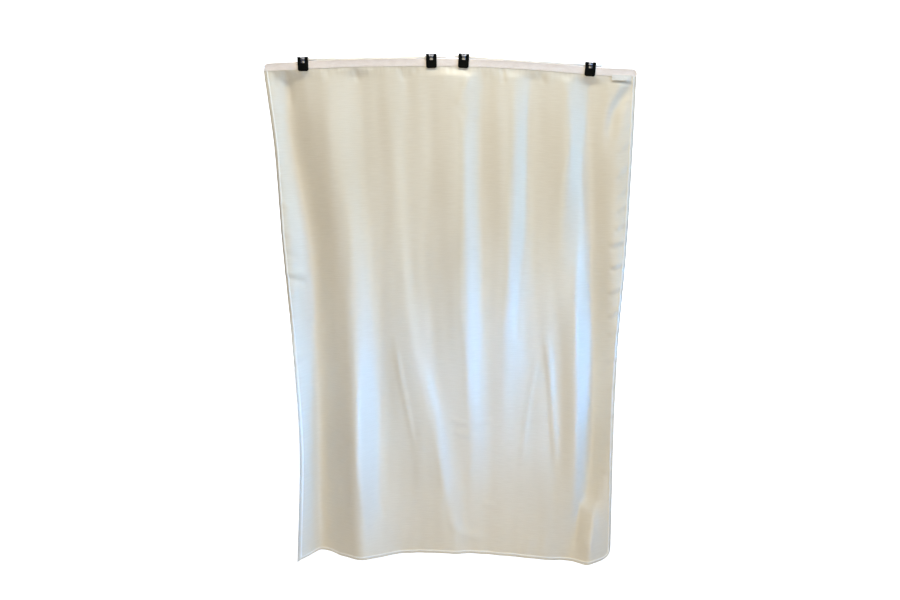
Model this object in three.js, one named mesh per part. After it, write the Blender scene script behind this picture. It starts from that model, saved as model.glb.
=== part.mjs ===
// A plain satin worship flag as it hangs: a panel sewn under a flat heading sleeve, a small bare label,
// and the four pinch clips on two hanger bars that hold the heading up.
// Millimetres, +Z up. The front faces -Y, and the origin lies midway between the two bars.
import * as THREE from 'three';

// The cloth as cut and sewn. Its lower right corner is rounded and hangs a little short.
const PANEL_DROP = 1256;
const PANEL_THICK = 1.6;
const HEM_WIDTH = 8;
const HEM_THICK = 2.6;
const HEM_STEP = 1;
const CORNER_ROUND = 24;
const CORNER_LIFT = { rise: 14, spread: 65 };
const HEADING_HEIGHT = 18;
const END_ROUND = 11;
const PIECE_GAP = 0.3;

// Heights below the seam at which the side edges and the folds are given.
const STATIONS = [0, 180, 425, 680, 950, PANEL_DROP];

// The panel's side edges, drawn in as the folds take up its width.
const EDGES = {
  left: [-458, -438, -423, -402, -390, -402],
  right: [459, 453, 444, 428, 422, 424],
};

// The heading's top edge, a low arch that droops more to the right.
const ARCH = {
  x: [-457, -257, -60, 60, 198, 370, 459],
  z: [-23.5, -10.6, -5.2, -7.4, -14.9, -27.5, -33.6],
};

// The folds, from left to right: where each centre line runs, how far it stands out to the front
// (or lies back, where negative) at each station, and how far it spreads to its left and right.
const FOLDS = {
  left_edge_roll: {
    x: [-445, -434, -418, -402, -392, -410], rise: [6, 8, 10, 18, 22, 14], left: 45, right: 30,
  },
  left_hollow: {
    x: [-412, -394, -354, -346, -346, -348], rise: [-15, -30, -28, -40, -46, -50], left: 30, right: 44,
  },
  left_ridge: {
    x: [-307, -286, -254, -244, -238, -230], rise: [5, 8, 7, 14, 38, 30], left: 50, right: 34,
  },
  second_hollow: {
    x: [-230, -209, -200, -182, -178, -185], rise: [-4, -4, -2, -3, -8, 18], left: 30, right: 42,
  },
  slanting_ridge: {
    x: [-144, -139, -126, -100, -41, 15], rise: [4, 4, 5, 8, 12, 8], left: 62, right: 25,
  },
  middle_hollow: {
    x: [-53, -49, -32, -25, 17, 69], rise: [-1, -2, -2, -3, -4, -1], left: 35, right: 35,
  },
  middle_ridge: {
    x: [42, 31, 34, 39, 48, 54], rise: [4, 19, 23, 25, 13, 0], left: 115, right: 26,
  },
  middle_dip: {
    x: [90, 86, 96, 98, 102, 110], rise: [-3, -4, -4, -4, -2, 0], left: 28, right: 36,
  },
  right_middle_ridge: {
    x: [160, 153, 147, 138, 131, 131], rise: [8, 20, 22, 13, 2, 0], left: 80, right: 29,
  },
  right_middle_dip: {
    x: [206, 201, 200, 188, 187, 191], rise: [-5, -5, -4, -2, 0, 0], left: 24, right: 40,
  },
  lower_belly: {
    x: [220, 220, 220, 220, 230, 250], rise: [0, 0, 0, 2, 6, 12], left: 150, right: 90,
  },
  upper_right_ridge: {
    x: [285, 292, 272, 258, 258, 264], rise: [7, 15, 6, 4, 2, 0], left: 60, right: 26,
  },
  right_ridge: {
    x: [290, 298, 308, 320, 322, 314], rise: [0, 2, 8, 25, 26, 14], left: 36, right: 24,
  },
  right_hollow: {
    x: [346, 351, 362, 374, 366, 340], rise: [-9, -12, -14, -18, -24, -8], left: 26, right: 30,
  },
  right_margin: {
    x: [424, 420, 418, 424, 424, 424], rise: [5, 12, 17, 18, 12, 2], left: 42, right: 60,
  },
  corner_ridge: {
    x: [418, 418, 418, 414, 410, 366], rise: [0, 0, 0, 0, 6, 28], left: 22, right: 70,
  },
  corner_pull: {
    x: [420, 376, 366, 366, 366, 366], rise: [4, 3, 0, 0, 0, 0], left: 28, right: 25,
  },
  corner_curl: {
    x: [470, 464, 460, 452, 446, 440], rise: [0, 0, -2, -4, -3, -6], left: 60, right: 40,
  },
};

// Folds grow from nothing at the seam over this drop, and the cloth swells a little just below it.
const SETTLE_DROP = 45;
const SEAM_SWELL = { rise: 2, at: 24, spread: 22 };

// How finely the sheets are divided.
const PANEL_COLUMNS = 80;
const PANEL_ROWS = 26;
const SEAM_STEPS = [0, 5, 14, 28, 46];
const HEADING_COLUMNS = 44;
const ROUND_SHARES = [0, 0.08, 0.25, 0.55, 1];
const CORNER_STEPS = 5;
const BEND_STEPS = 10;
const NORMAL_STEP = 1;

// The heading's section from its top fold to the seam: share of its height, and half its thickness.
const HEADING_SECTION = { down: [0, 0.14, 0.5, 0.86, 1], half: [0.7, 1.6, 2, 1.7, 1.5] };

// The label hangs from the seam near the right corner, its lower edge lifted, most at the middle.
const LABEL = {
  left: 401, right: 450, height: 14, thick: 1, gap: 0.7, endLift: 1, bow: 1.6, columns: 8, rows: 4,
};

// The hanger bars' ends as [x, z].
const BARS = [
  { name: 'hanger_bar_left', from: [-372, -7.4], to: [-9, 1] },
  { name: 'hanger_bar_right', from: [12, 1.7], to: [373, -21.5] },
];
const BAR = { radius: 3.6, chamfer: 0.8, sides: 20 };

// The pinch clips: two plastic jaws held together over the bar by a steel strap.
const CLIPS = [
  { name: 'clip_1', bar: BARS[0], x: -361 },
  { name: 'clip_2', bar: BARS[0], x: -46 },
  { name: 'clip_3', bar: BARS[1], x: 34 },
  { name: 'clip_4', bar: BARS[1], x: 345 },
];
const JAW = {
  width: 26, above: 7, below: 27, thick: 3, corner: 5, bevel: 0.6,
  notchWidth: 10.4, notchDepth: 8, gapAtBar: 4.4, lean: THREE.MathUtils.degToRad(6),
};
const STRAP = { width: 9, thick: 1, centre: -1.5, leg: 6 };

const SATIN = new THREE.MeshStandardMaterial({ color: 0xe6dfcf, roughness: 0.42, metalness: 0 });
const SLEEVE_CLOTH = new THREE.MeshStandardMaterial({ color: 0xe8dedb, roughness: 0.85, metalness: 0 });
const LABEL_TAPE = new THREE.MeshStandardMaterial({ color: 0xf4f2ee, roughness: 0.7, metalness: 0 });
const BLACK_PLASTIC = new THREE.MeshStandardMaterial({ color: 0x0d0f12, roughness: 0.38, metalness: 0 });
const SPRING_STEEL = new THREE.MeshStandardMaterial({ color: 0xc9ccd0, roughness: 0.25, metalness: 1 });
const CHROME = new THREE.MeshStandardMaterial({ color: 0xd8dadd, roughness: 0.08, metalness: 1 });

const { clamp, lerp, smoothstep } = THREE.MathUtils;
const bell = (offset) => Math.exp(-offset * offset);

// The value at a place among the stops, on a smooth curve through every stop's value.
function through(stops, values, place) {
  const last = stops.length - 1;
  const at = clamp(place, stops[0], stops[last]);
  const after = stops.findIndex((stop, i) => i > 0 && at <= stop);
  const before = after - 1;
  const slope = (i) => {
    const low = Math.max(i - 1, 0);
    const high = Math.min(i + 1, last);
    return (values[high] - values[low]) / (stops[high] - stops[low]);
  };
  const span = stops[after] - stops[before];
  const t = (at - stops[before]) / span;
  const ease = t * t * (3 - 2 * t);
  const leave = t * (1 - t) * (1 - t) * span * slope(before);
  const arrive = t * t * (t - 1) * span * slope(after);
  return lerp(values[before], values[after], ease) + leave + arrive;
}

// How much a rounded corner takes off an edge at a distance from the corner's end.
function roundingAt(distance, radius) {
  const short = clamp(radius - distance, 0, radius);
  return radius - Math.sqrt(radius * radius - short * short);
}

// A list of places from 0 to 1: the given ones at both ends and an even run between them.
function spacedPlaces(starts, count, ends) {
  const low = starts[starts.length - 1];
  const high = ends[0];
  const middle = Array.from({ length: count - 1 }, (_, i) => lerp(low, high, (i + 1) / count));
  return [...starts, ...middle, ...ends];
}

// A closed thin solid between a front and a back grid of points, joined around its rim.
function closedSheet(columns, rows, frontPoint, backPoint) {
  const positions = [];
  const triangles = [];
  for (const pointAt of [frontPoint, backPoint]) {
    for (const row of rows) {
      for (const column of columns) {
        positions.push(...pointAt(column, row).toArray());
      }
    }
  }
  const right = columns.length - 1;
  const bottom = rows.length - 1;
  const front = (i, j) => j * columns.length + i;
  const back = (i, j) => front(i, j) + columns.length * rows.length;
  const quad = (a, b, c, d) => triangles.push(a, b, c, a, c, d);
  for (let j = 0; j < bottom; j += 1) {
    for (let i = 0; i < right; i += 1) {
      quad(front(i, j), front(i, j + 1), front(i + 1, j + 1), front(i + 1, j));
      quad(back(i, j), back(i + 1, j), back(i + 1, j + 1), back(i, j + 1));
    }
    quad(front(0, j + 1), front(0, j), back(0, j), back(0, j + 1));
    quad(front(right, j), front(right, j + 1), back(right, j + 1), back(right, j));
  }
  for (let i = 0; i < right; i += 1) {
    quad(front(i, 0), front(i + 1, 0), back(i + 1, 0), back(i, 0));
    quad(front(i + 1, bottom), front(i, bottom), back(i, bottom), back(i + 1, bottom));
  }
  const geometry = new THREE.BufferGeometry();
  geometry.setAttribute('position', new THREE.Float32BufferAttribute(positions, 3));
  geometry.setIndex(triangles);
  geometry.computeVertexNormals();
  return geometry;
}

const headingTop = (x) => through(ARCH.x, ARCH.z, x);
const seamHeight = (x) => headingTop(x) - HEADING_HEIGHT;

// How far the cloth stands out to the front at a place on the panel.
function standOut(x, drop) {
  let rise = SEAM_SWELL.rise * bell((drop - SEAM_SWELL.at) / SEAM_SWELL.spread);
  for (const fold of Object.values(FOLDS)) {
    const offset = x - through(STATIONS, fold.x, drop);
    const spread = offset < 0 ? fold.left : fold.right;
    rise += through(STATIONS, fold.rise, drop) * bell(offset / spread);
  }
  return rise * smoothstep(drop, 0, SETTLE_DROP);
}

// A point of the cloth's middle layer: across runs 0 to 1 from left to right, down 0 to 1 from the seam.
function clothPoint(across, down) {
  const seamX = lerp(EDGES.left[0], EDGES.right[0], across);
  const toCorner = (1 - across) * (EDGES.right[0] - EDGES.left[0]);
  const cornerLift = CORNER_LIFT.rise * bell(toCorner / CORNER_LIFT.spread);
  const drop = down * (PANEL_DROP - roundingAt(toCorner, CORNER_ROUND) - cornerLift);
  const x = lerp(through(STATIONS, EDGES.left, drop), through(STATIONS, EDGES.right, drop), across);
  return new THREE.Vector3(x, -standOut(x, drop), seamHeight(seamX) - PIECE_GAP - drop);
}

// The cloth's unit normal to the front, from the slopes across and down it.
function clothNormal(across, down) {
  const stepAcross = NORMAL_STEP / (EDGES.right[0] - EDGES.left[0]);
  const stepDown = NORMAL_STEP / PANEL_DROP;
  const slopeBetween = (a0, d0, a1, d1) => clothPoint(a1, d1).sub(clothPoint(a0, d0));
  const alongWidth = slopeBetween(across - stepAcross, down, across + stepAcross, down);
  const alongDrop = slopeBetween(across, down - stepDown, across, down + stepDown);
  return alongDrop.cross(alongWidth).normalize();
}

// The satin panel, with its folds and its thicker turned hem at the sides and bottom.
function panelGeometry() {
  const width = EDGES.right[0] - EDGES.left[0];
  const hem = [0, HEM_WIDTH - HEM_STEP, HEM_WIDTH];
  const hemAcross = hem.map((inset) => inset / width);
  const hemDown = hem.map((inset) => 1 - inset / PANEL_DROP).reverse();
  const seamRows = SEAM_STEPS.map((drop) => drop / PANEL_DROP);
  const columns = spacedPlaces(hemAcross, PANEL_COLUMNS, hemAcross.map((place) => 1 - place).reverse());
  const rows = spacedPlaces(seamRows, PANEL_ROWS, hemDown);
  const toEdge = (across, down) => Math.min(across * width, (1 - across) * width, (1 - down) * PANEL_DROP);
  const layer = (side) => (across, down) => {
    const half = (toEdge(across, down) < HEM_WIDTH - HEM_STEP / 2 ? HEM_THICK : PANEL_THICK) / 2;
    return clothPoint(across, down).addScaledVector(clothNormal(across, down), side * half);
  };
  return closedSheet(columns, rows, layer(1), layer(-1));
}

// The heading: a flat sewn sleeve with rounded ends, thickest at its middle.
function headingGeometry() {
  const [left, right] = [ARCH.x[0], ARCH.x[ARCH.x.length - 1]];
  const length = right - left;
  const rounded = ROUND_SHARES.map((share) => share * END_ROUND / length);
  const mirrored = rounded.map((place) => 1 - place).reverse();
  const columns = spacedPlaces(rounded, HEADING_COLUMNS, mirrored);
  const face = (side) => (along, down) => {
    const x = lerp(left, right, along);
    const lowered = roundingAt(Math.min(along, 1 - along) * length, END_ROUND);
    const z = headingTop(x) - lerp(lowered, HEADING_HEIGHT, down);
    return new THREE.Vector3(x, side * through(HEADING_SECTION.down, HEADING_SECTION.half, down), z);
  };
  return closedSheet(columns, HEADING_SECTION.down, face(-1), face(1));
}

// The bare label: a short tape sewn in at the seam, bowed out at its lower edge.
function labelGeometry() {
  const width = EDGES.right[0] - EDGES.left[0];
  const evenly = (count) => Array.from({ length: count + 1 }, (_, i) => i / count);
  const face = (offset) => (along, down) => {
    const across = (lerp(LABEL.left, LABEL.right, along) - EDGES.left[0]) / width;
    const drop = PIECE_GAP + down * LABEL.height;
    const lift = down * (LABEL.endLift + LABEL.bow * Math.sin(Math.PI * along));
    const point = clothPoint(across, drop / PANEL_DROP);
    point.y -= HEM_THICK / 2 + LABEL.gap + lift + offset;
    return point;
  };
  return closedSheet(evenly(LABEL.columns), evenly(LABEL.rows), face(LABEL.thick), face(0));
}

// A round bar along its own Y axis, with chamfered ends.
function barGeometry(length) {
  const half = length / 2;
  const { radius, chamfer, sides } = BAR;
  const profile = [
    [0, -half], [radius - chamfer, -half], [radius, chamfer - half],
    [radius, half - chamfer], [radius - chamfer, half], [0, half],
  ].map(([r, y]) => new THREE.Vector2(r, y));
  return new THREE.LatheGeometry(profile, sides);
}

// A jaw plate: upright, inner face on y = 0, with round lower corners and a notch for the strap.
function jawGeometry() {
  const half = JAW.width / 2;
  const notch = JAW.notchWidth / 2;
  const low = JAW.corner - JAW.below;
  const outline = new THREE.Shape();
  outline.moveTo(-notch, JAW.above);
  outline.lineTo(-half, JAW.above);
  outline.absarc(JAW.corner - half, low, JAW.corner, Math.PI, 1.5 * Math.PI);
  outline.absarc(half - JAW.corner, low, JAW.corner, 1.5 * Math.PI, 2 * Math.PI);
  outline.lineTo(half, JAW.above);
  outline.lineTo(notch, JAW.above);
  outline.lineTo(notch, JAW.above - JAW.notchDepth);
  outline.lineTo(-notch, JAW.above - JAW.notchDepth);
  const geometry = new THREE.ExtrudeGeometry(outline, {
    depth: JAW.thick - 2 * JAW.bevel,
    bevelThickness: JAW.bevel,
    bevelSize: JAW.bevel,
    bevelOffset: -JAW.bevel,
    bevelSegments: 1,
    curveSegments: CORNER_STEPS,
  });
  return geometry.translate(0, 0, JAW.bevel).rotateX(Math.PI / 2);
}

// The strap: a steel band bent over the bar, its legs lying along the jaws' outer faces.
function strapGeometry() {
  const { lean } = JAW;
  const toJaw = JAW.gapAtBar * Math.cos(lean) + STRAP.centre * Math.sin(lean);
  const inner = toJaw + JAW.thick + PIECE_GAP;
  const outer = inner + STRAP.thick;
  const legEnd = (radius, side) => [
    side * (radius * Math.cos(lean) - STRAP.leg * Math.sin(lean)),
    STRAP.centre - radius * Math.sin(lean) - STRAP.leg * Math.cos(lean),
  ];
  const section = new THREE.Shape();
  section.moveTo(...legEnd(inner, 1));
  section.lineTo(...legEnd(outer, 1));
  section.absarc(0, STRAP.centre, outer, -lean, Math.PI + lean);
  section.lineTo(...legEnd(outer, -1));
  section.lineTo(...legEnd(inner, -1));
  section.absarc(0, STRAP.centre, inner, Math.PI + lean, -lean, true);
  const geometry = new THREE.ExtrudeGeometry(section, {
    depth: STRAP.width,
    bevelEnabled: false,
    curveSegments: BEND_STEPS,
  });
  return geometry.translate(0, 0, -STRAP.width / 2).rotateY(Math.PI / 2).rotateX(Math.PI / 2);
}

function namedMesh(name, geometry, material) {
  const mesh = new THREE.Mesh(geometry, material);
  mesh.name = name;
  return mesh;
}

const barSlope = ({ from, to }) => Math.atan2(to[1] - from[1], to[0] - from[0]);

function hangerBar(bar) {
  const [dx, dz] = [bar.to[0] - bar.from[0], bar.to[1] - bar.from[1]];
  const mesh = namedMesh(bar.name, barGeometry(Math.hypot(dx, dz)), CHROME);
  mesh.rotation.z = Math.PI / 2;
  const tilted = new THREE.Group();
  tilted.position.set(bar.from[0] + dx / 2, 0, bar.from[1] + dz / 2);
  tilted.rotation.y = -barSlope(bar);
  tilted.add(mesh);
  return tilted;
}

function pinchClip({ name, bar, x }) {
  const clip = new THREE.Group();
  clip.position.set(x, 0, bar.from[1] + (x - bar.from[0]) * Math.tan(barSlope(bar)));
  clip.rotation.y = -barSlope(bar);
  for (const [side, turn] of [['front', 0], ['back', Math.PI]]) {
    const jaw = namedMesh(`${name}_${side}_jaw`, jawGeometry(), BLACK_PLASTIC);
    jaw.position.y = -JAW.gapAtBar;
    jaw.rotation.x = JAW.lean;
    const half = new THREE.Group();
    half.rotation.z = turn;
    half.add(jaw);
    clip.add(half);
  }
  clip.add(namedMesh(`${name}_spring`, strapGeometry(), SPRING_STEEL));
  return clip;
}

const flag = new THREE.Group();
flag.add(namedMesh('flag_panel', panelGeometry(), SATIN));
flag.add(namedMesh('heading', headingGeometry(), SLEEVE_CLOTH));
flag.add(namedMesh('label', labelGeometry(), LABEL_TAPE));
flag.add(...BARS.map(hangerBar));
flag.add(...CLIPS.map(pinchClip));

export default flag;
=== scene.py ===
"""Looks of a plain satin worship flag as it hangs from pinch clips on two hanger bars.

Sizes are in millimetres and become metres where a mesh is made. The front faces -Y, +X is to the right,
+Z is up, and the origin lies midway between the two bars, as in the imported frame.
"""

import logging
import math
from dataclasses import dataclass
from enum import Enum, IntEnum
from typing import Any, Sequence

import bmesh
import bpy
import numpy as np
from mathutils import Matrix, Vector


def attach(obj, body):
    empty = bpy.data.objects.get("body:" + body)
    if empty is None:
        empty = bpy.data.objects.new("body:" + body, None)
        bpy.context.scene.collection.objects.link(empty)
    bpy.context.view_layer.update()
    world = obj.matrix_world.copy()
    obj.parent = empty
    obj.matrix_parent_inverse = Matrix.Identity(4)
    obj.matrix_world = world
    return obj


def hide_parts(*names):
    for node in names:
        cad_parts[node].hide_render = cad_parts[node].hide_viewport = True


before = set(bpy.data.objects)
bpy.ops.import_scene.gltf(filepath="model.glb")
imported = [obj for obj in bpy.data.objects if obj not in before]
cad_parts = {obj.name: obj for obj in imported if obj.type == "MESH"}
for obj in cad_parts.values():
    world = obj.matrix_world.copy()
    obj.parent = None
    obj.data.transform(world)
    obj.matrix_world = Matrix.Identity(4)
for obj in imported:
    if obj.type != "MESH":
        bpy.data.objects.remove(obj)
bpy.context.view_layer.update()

MM = 0.001
BODY = "root"
UV_NAME = "cloth"
SHARP_ANGLE = math.radians(48)
LOG = logging.getLogger("flag")

Pair = tuple[float, float]
Triple = tuple[float, float, float]
Colour = Triple
Table = tuple[float, ...]
Outline = list[Pair]
Grid = np.ndarray


class Side(Enum):
    """Which face of the flag a piece belongs to, as the sign of its direction along Y."""

    FRONT = -1
    BACK = 1


class Lens(Enum):
    """The outline of a light's face."""

    WINDOW = "RECTANGLE"
    SOFTBOX = "ELLIPSE"


class Socket(IntEnum):
    """Numbers of the shader nodes' sockets that are not told apart by name."""

    MIX_SHARE = 0
    MIX_RESULT = 2
    OBJECT_PLACE = 3
    MIX_FIRST = 6
    MIX_SECOND = 7


# Shader expressions


class Link:
    """An output socket of a shader node that takes part in Python sums."""

    def __init__(self, shader: "Shader", socket: bpy.types.NodeSocket | None) -> None:
        """Keeps the socket and the shader that it belongs to."""
        self.shader = shader
        self.socket = socket

    def sum(self, operation: str, *terms: "Link | float") -> "Link":
        """Adds one Math node.

        Args:
            operation: the Math node's operation.
            terms: its inputs in order, links or numbers.

        Returns:
            The node's result.
        """
        return self.shader.node("ShaderNodeMath", {"operation": operation}, dict(enumerate(terms)))

    def __add__(self, other: "Link | float") -> "Link":
        """Adds two values."""
        return self.sum("ADD", self, other)

    def __sub__(self, other: "Link | float") -> "Link":
        """Takes a value from this one."""
        return self.sum("SUBTRACT", self, other)

    def __rsub__(self, other: float) -> "Link":
        """Takes this value from a number."""
        return self.sum("SUBTRACT", other, self)

    def __mul__(self, other: "Link | float") -> "Link":
        """Multiplies two values."""
        return self.sum("MULTIPLY", self, other)

    __radd__ = __add__
    __rmul__ = __mul__

    def sine(self) -> "Link":
        """The sine of this value."""
        return self.sum("SINE", self)

    def least(self, other: "Link") -> "Link":
        """The smaller of two values."""
        return self.sum("MINIMUM", self, other)

    def size(self) -> "Link":
        """This value without its sign."""
        return self.sum("ABSOLUTE", self)

    def ease(self, low: float, high: float) -> "Link":
        """A smooth step of this value from 0 at low to 1 at high."""
        inputs = {"Value": self, "From Min": low, "From Max": high}
        return self.shader.node("ShaderNodeMapRange", {"interpolation_type": "SMOOTHSTEP"}, inputs)


class Shader:
    """A material's node tree, written as expressions."""

    def __init__(self, name: str) -> None:
        """Makes an empty material.

        Args:
            name: the material's name.
        """
        self.material = bpy.data.materials.new(name)
        self.material.use_nodes = True
        self.tree = self.material.node_tree
        self.tree.nodes.clear()

    def node(
        self,
        kind: str,
        settings: dict[str, Any] | None = None,
        inputs: dict[str | int, Any] | None = None,
        output: int = 0,
    ) -> Link:
        """Adds a node.

        Args:
            kind: the node's type.
            settings: its properties, set first.
            inputs: values or links of its sockets, by name or number.
            output: which output the result stands for.

        Returns:
            That output.
        """
        made = self.tree.nodes.new(kind)
        for name, value in (settings or {}).items():
            setattr(made, name, value)
        for key, value in (inputs or {}).items():
            if isinstance(value, Link):
                self.tree.links.new(value.socket, made.inputs[key])
            else:
                made.inputs[key].default_value = value
        return Link(self, made.outputs[output] if made.outputs else None)

    def place(self, uv: bool, scale: Sequence[float]) -> Link:
        """A stretched place on the surface.

        Args:
            uv: whether the place is read from the cloth's own map and not from Object coordinates.
            scale: how many units of the pattern go into a metre along each axis.

        Returns:
            The scaled vector.
        """
        if uv:
            vector = self.node("ShaderNodeUVMap", {"uv_map": UV_NAME})
        else:
            vector = self.node("ShaderNodeTexCoord", output=Socket.OBJECT_PLACE)
        return self.node("ShaderNodeMapping", inputs={"Vector": vector, "Scale": scale})

    def noise(self, place: Link, detail: float = 2.0) -> Link:
        """Soft noise of one unit's grain, from 0 to 1."""
        return self.node("ShaderNodeTexNoise", inputs={"Vector": place, "Scale": 1.0, "Detail": detail})

    def axes(self, place: Link) -> tuple[Link, Link, Link]:
        """The three numbers of a vector."""
        parts = self.node("ShaderNodeSeparateXYZ", inputs={"Vector": place})
        sockets = parts.socket.node.outputs
        return Link(self, sockets[0]), Link(self, sockets[1]), Link(self, sockets[2])

    def blend(self, share: Link, first: Colour | Link, second: Colour) -> Link:
        """A colour between two, by a share from 0 to 1."""
        start = first if isinstance(first, Link) else (*first, 1.0)
        inputs = {Socket.MIX_SHARE: share, Socket.MIX_FIRST: start, Socket.MIX_SECOND: (*second, 1.0)}
        return self.node("ShaderNodeMix", {"data_type": "RGBA"}, inputs, output=Socket.MIX_RESULT)

    def bump(self, height: Link, depth: float, strength: float) -> Link:
        """A bumped normal.

        Args:
            height: the relief from 0 to 1.
            depth: how deep the relief is in millimetres.
            strength: the share of it that shows.

        Returns:
            The normal.
        """
        inputs = {"Height": height, "Distance": depth * MM, "Strength": strength}
        return self.node("ShaderNodeBump", inputs=inputs)

    def finish(self, inputs: dict[str, Any]) -> bpy.types.Material:
        """Ends the tree in a surface.

        Args:
            inputs: values or links of the surface's sockets.

        Returns:
            The finished material.
        """
        surface = self.node("ShaderNodeBsdfPrincipled", inputs=inputs)
        self.node("ShaderNodeOutputMaterial", inputs={"Surface": surface})
        return self.material


# Finishes


@dataclass(frozen=True)
class SatinFinish:
    """Ivory satin: a soft gloss over fine cross threads, gathered at the seam, with painted highlight and
    painted shade at its hems.

    Attributes:
        width: the cloth's flat width.
        drop: its flat height.
        hem: how far the hem's stitched line lies from the edge.
        light: the cloth's colour where it is palest.
        deep: its colour where it is deepest.
        bead_thread_and_highlight: the colour along the hem's stitched bead, its pale thread lightened
            further as a painted highlight of the bead.
        bead_thread_and_highlight_fade: how far from the bead's middle that colour begins to fade, and is
            gone.
        turned: painted shade on the side hems' outer edge, the shadow of the turned hem painted into its
            colour.
        edge_shade_fade: how far from that edge the painted shade begins to fade, and is gone.
        slub_share: the slubs' part in the cloth's tone, beside that of its clouds.
        tone_span: the noise at which the tone is palest, and deepest.
        rib_pitch: from one cross thread to the next.
        gather_reach: how far the gathers run down from the seam.
    """

    width: float
    drop: float
    hem: float
    light: Colour = (0.81, 0.765, 0.683)
    deep: Colour = (0.74, 0.687, 0.595)
    # Pale thread of the hem's bead, lightened further as a painted highlight.
    bead_thread_and_highlight: Colour = (0.96, 0.94, 0.91)
    bead_thread_and_highlight_fade: Pair = (1.1, 2.6)
    # Painted shade of the side hems' outer edge.
    turned: Colour = (0.62, 0.58, 0.52)
    edge_shade_fade: Pair = (2.4, 4.6)
    roughness: float = 0.34
    slub_roughness: float = 0.12
    slub_share: float = 0.4
    tone_span: Pair = (0.3, 0.7)
    rib_pitch: float = 1.3
    rib_height: float = 0.003
    slub_height: float = 0.01
    slub_grain: Triple = (30.0, 420.0, 1.0)
    cloud_grain: Triple = (5.0, 3.0, 1.0)
    gather_grain: Triple = (62.0, 9.0, 1.0)
    gather_height: float = 2.4
    gather_reach: float = 30.0

    def material(self) -> bpy.types.Material:
        """The satin's material."""
        shader = Shader("ivory_satin")
        slub = shader.noise(shader.place(True, self.slub_grain), detail=3.0)
        cloud = shader.noise(shader.place(True, self.cloud_grain))
        across, down, _ = shader.axes(shader.place(True, (1 / MM, 1 / MM, 1.0)))
        rib = (down * (2 * math.pi / self.rib_pitch)).sine()
        gather = shader.noise(shader.place(True, self.gather_grain), detail=1.0)
        near_seam = 1.0 - down.ease(0.0, self.gather_reach)
        aside = across.least(self.width - across)
        inset = aside.least(self.drop - down)
        # Band along the hem's stitched line: pale thread and a painted highlight.
        bead_thread_and_highlight = 1.0 - (inset - self.hem).size().ease(*self.bead_thread_and_highlight_fade)
        # Outer edge of each side hem: painted shade.
        turned = 1.0 - aside.ease(*self.edge_shade_fade)
        tone = (slub * self.slub_share + cloud * (1 - self.slub_share)).ease(*self.tone_span)
        cloth = shader.blend(tone, self.light, self.deep)
        hemmed = shader.blend(turned, shader.blend(bead_thread_and_highlight, cloth, self.bead_thread_and_highlight), self.turned)
        gathered = gather * near_seam * self.gather_height
        return shader.finish({
            "Base Color": hemmed,
            "Roughness": slub * self.slub_roughness + self.roughness,
            "Specular IOR Level": 0.55,
            "Sheen Weight": 0.08,
            "Sheen Roughness": 0.4,
            "Normal": shader.bump(slub * self.slub_height + rib * self.rib_height + gathered, 1.0, 1.0),
        })


@dataclass(frozen=True)
class SleeveFinish:
    """Matte plain weave of the heading, a little pink beside the satin."""

    light: Colour = (0.97, 0.895, 0.88)
    deep: Colour = (0.92, 0.84, 0.82)
    thread_pitch: float = 0.9
    mottle_grain: Triple = (60.0, 160.0, 1.0)
    mottle_span: Pair = (0.3, 0.7)
    roughness: float = 0.78
    mottle_roughness: float = 0.1
    relief: float = 0.18

    def material(self) -> bpy.types.Material:
        """The sleeve cloth's material."""
        shader = Shader("sleeve_weave")
        turn = 2 * math.pi / (self.thread_pitch * MM)
        along, down, _ = shader.axes(shader.place(True, (turn, turn, 1.0)))
        weave = along.sine() * down.sine() * 0.5 + 0.5
        mottle = shader.noise(shader.place(True, self.mottle_grain), detail=3.0)
        return shader.finish({
            "Base Color": shader.blend(mottle.ease(*self.mottle_span), self.light, self.deep),
            "Roughness": mottle * self.mottle_roughness + self.roughness,
            "Specular IOR Level": 0.25,
            "Sheen Weight": 0.15,
            "Normal": shader.bump(weave * 0.5 + mottle * 0.5, self.relief, 0.5),
        })


@dataclass(frozen=True)
class TapeFinish:
    """Bare white woven tape with fine ribs along it."""

    light: Colour = (0.74, 0.735, 0.725)
    deep: Colour = (0.66, 0.655, 0.645)
    rib_pitch: float = 0.7
    rib_share: float = 0.35
    cross_share: float = 0.15
    fuzz_grain: Triple = (500.0, 500.0, 1.0)
    fuzz_span: Pair = (0.25, 0.75)
    roughness: float = 0.62
    fuzz_roughness: float = 0.1
    relief: float = 0.15

    def material(self) -> bpy.types.Material:
        """The tape's material."""
        shader = Shader("label_weave")
        turn = 2 * math.pi / (self.rib_pitch * MM)
        along, down, _ = shader.axes(shader.place(True, (turn, turn, 1.0)))
        ribs = down.sine() * self.rib_share + along.sine() * self.cross_share + 0.5
        fuzz = shader.noise(shader.place(True, self.fuzz_grain))
        return shader.finish({
            "Base Color": shader.blend(fuzz.ease(*self.fuzz_span), self.light, self.deep),
            "Roughness": fuzz * self.fuzz_roughness + self.roughness,
            "Specular IOR Level": 0.3,
            "Normal": shader.bump(ribs, self.relief, 0.5),
        })


@dataclass(frozen=True)
class ThreadFinish:
    """Spun sewing thread, with the slant of its twist."""

    light: Colour = (0.9, 0.89, 0.86)
    deep: Colour = (0.78, 0.76, 0.72)
    twist_pitch: float = 0.5
    roughness: float = 0.5
    twist_roughness: float = 0.1

    def material(self) -> bpy.types.Material:
        """The thread's material."""
        shader = Shader("sewing_thread")
        turn = 2 * math.pi / (self.twist_pitch * MM)
        across, _, up = shader.axes(shader.place(False, (turn, turn, turn)))
        twist = (across + up).sine() * 0.5 + 0.5
        return shader.finish({
            "Base Color": shader.blend(twist, self.deep, self.light),
            "Roughness": twist * self.twist_roughness + self.roughness,
            "Normal": shader.bump(twist, 0.05, 0.4),
        })


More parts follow.
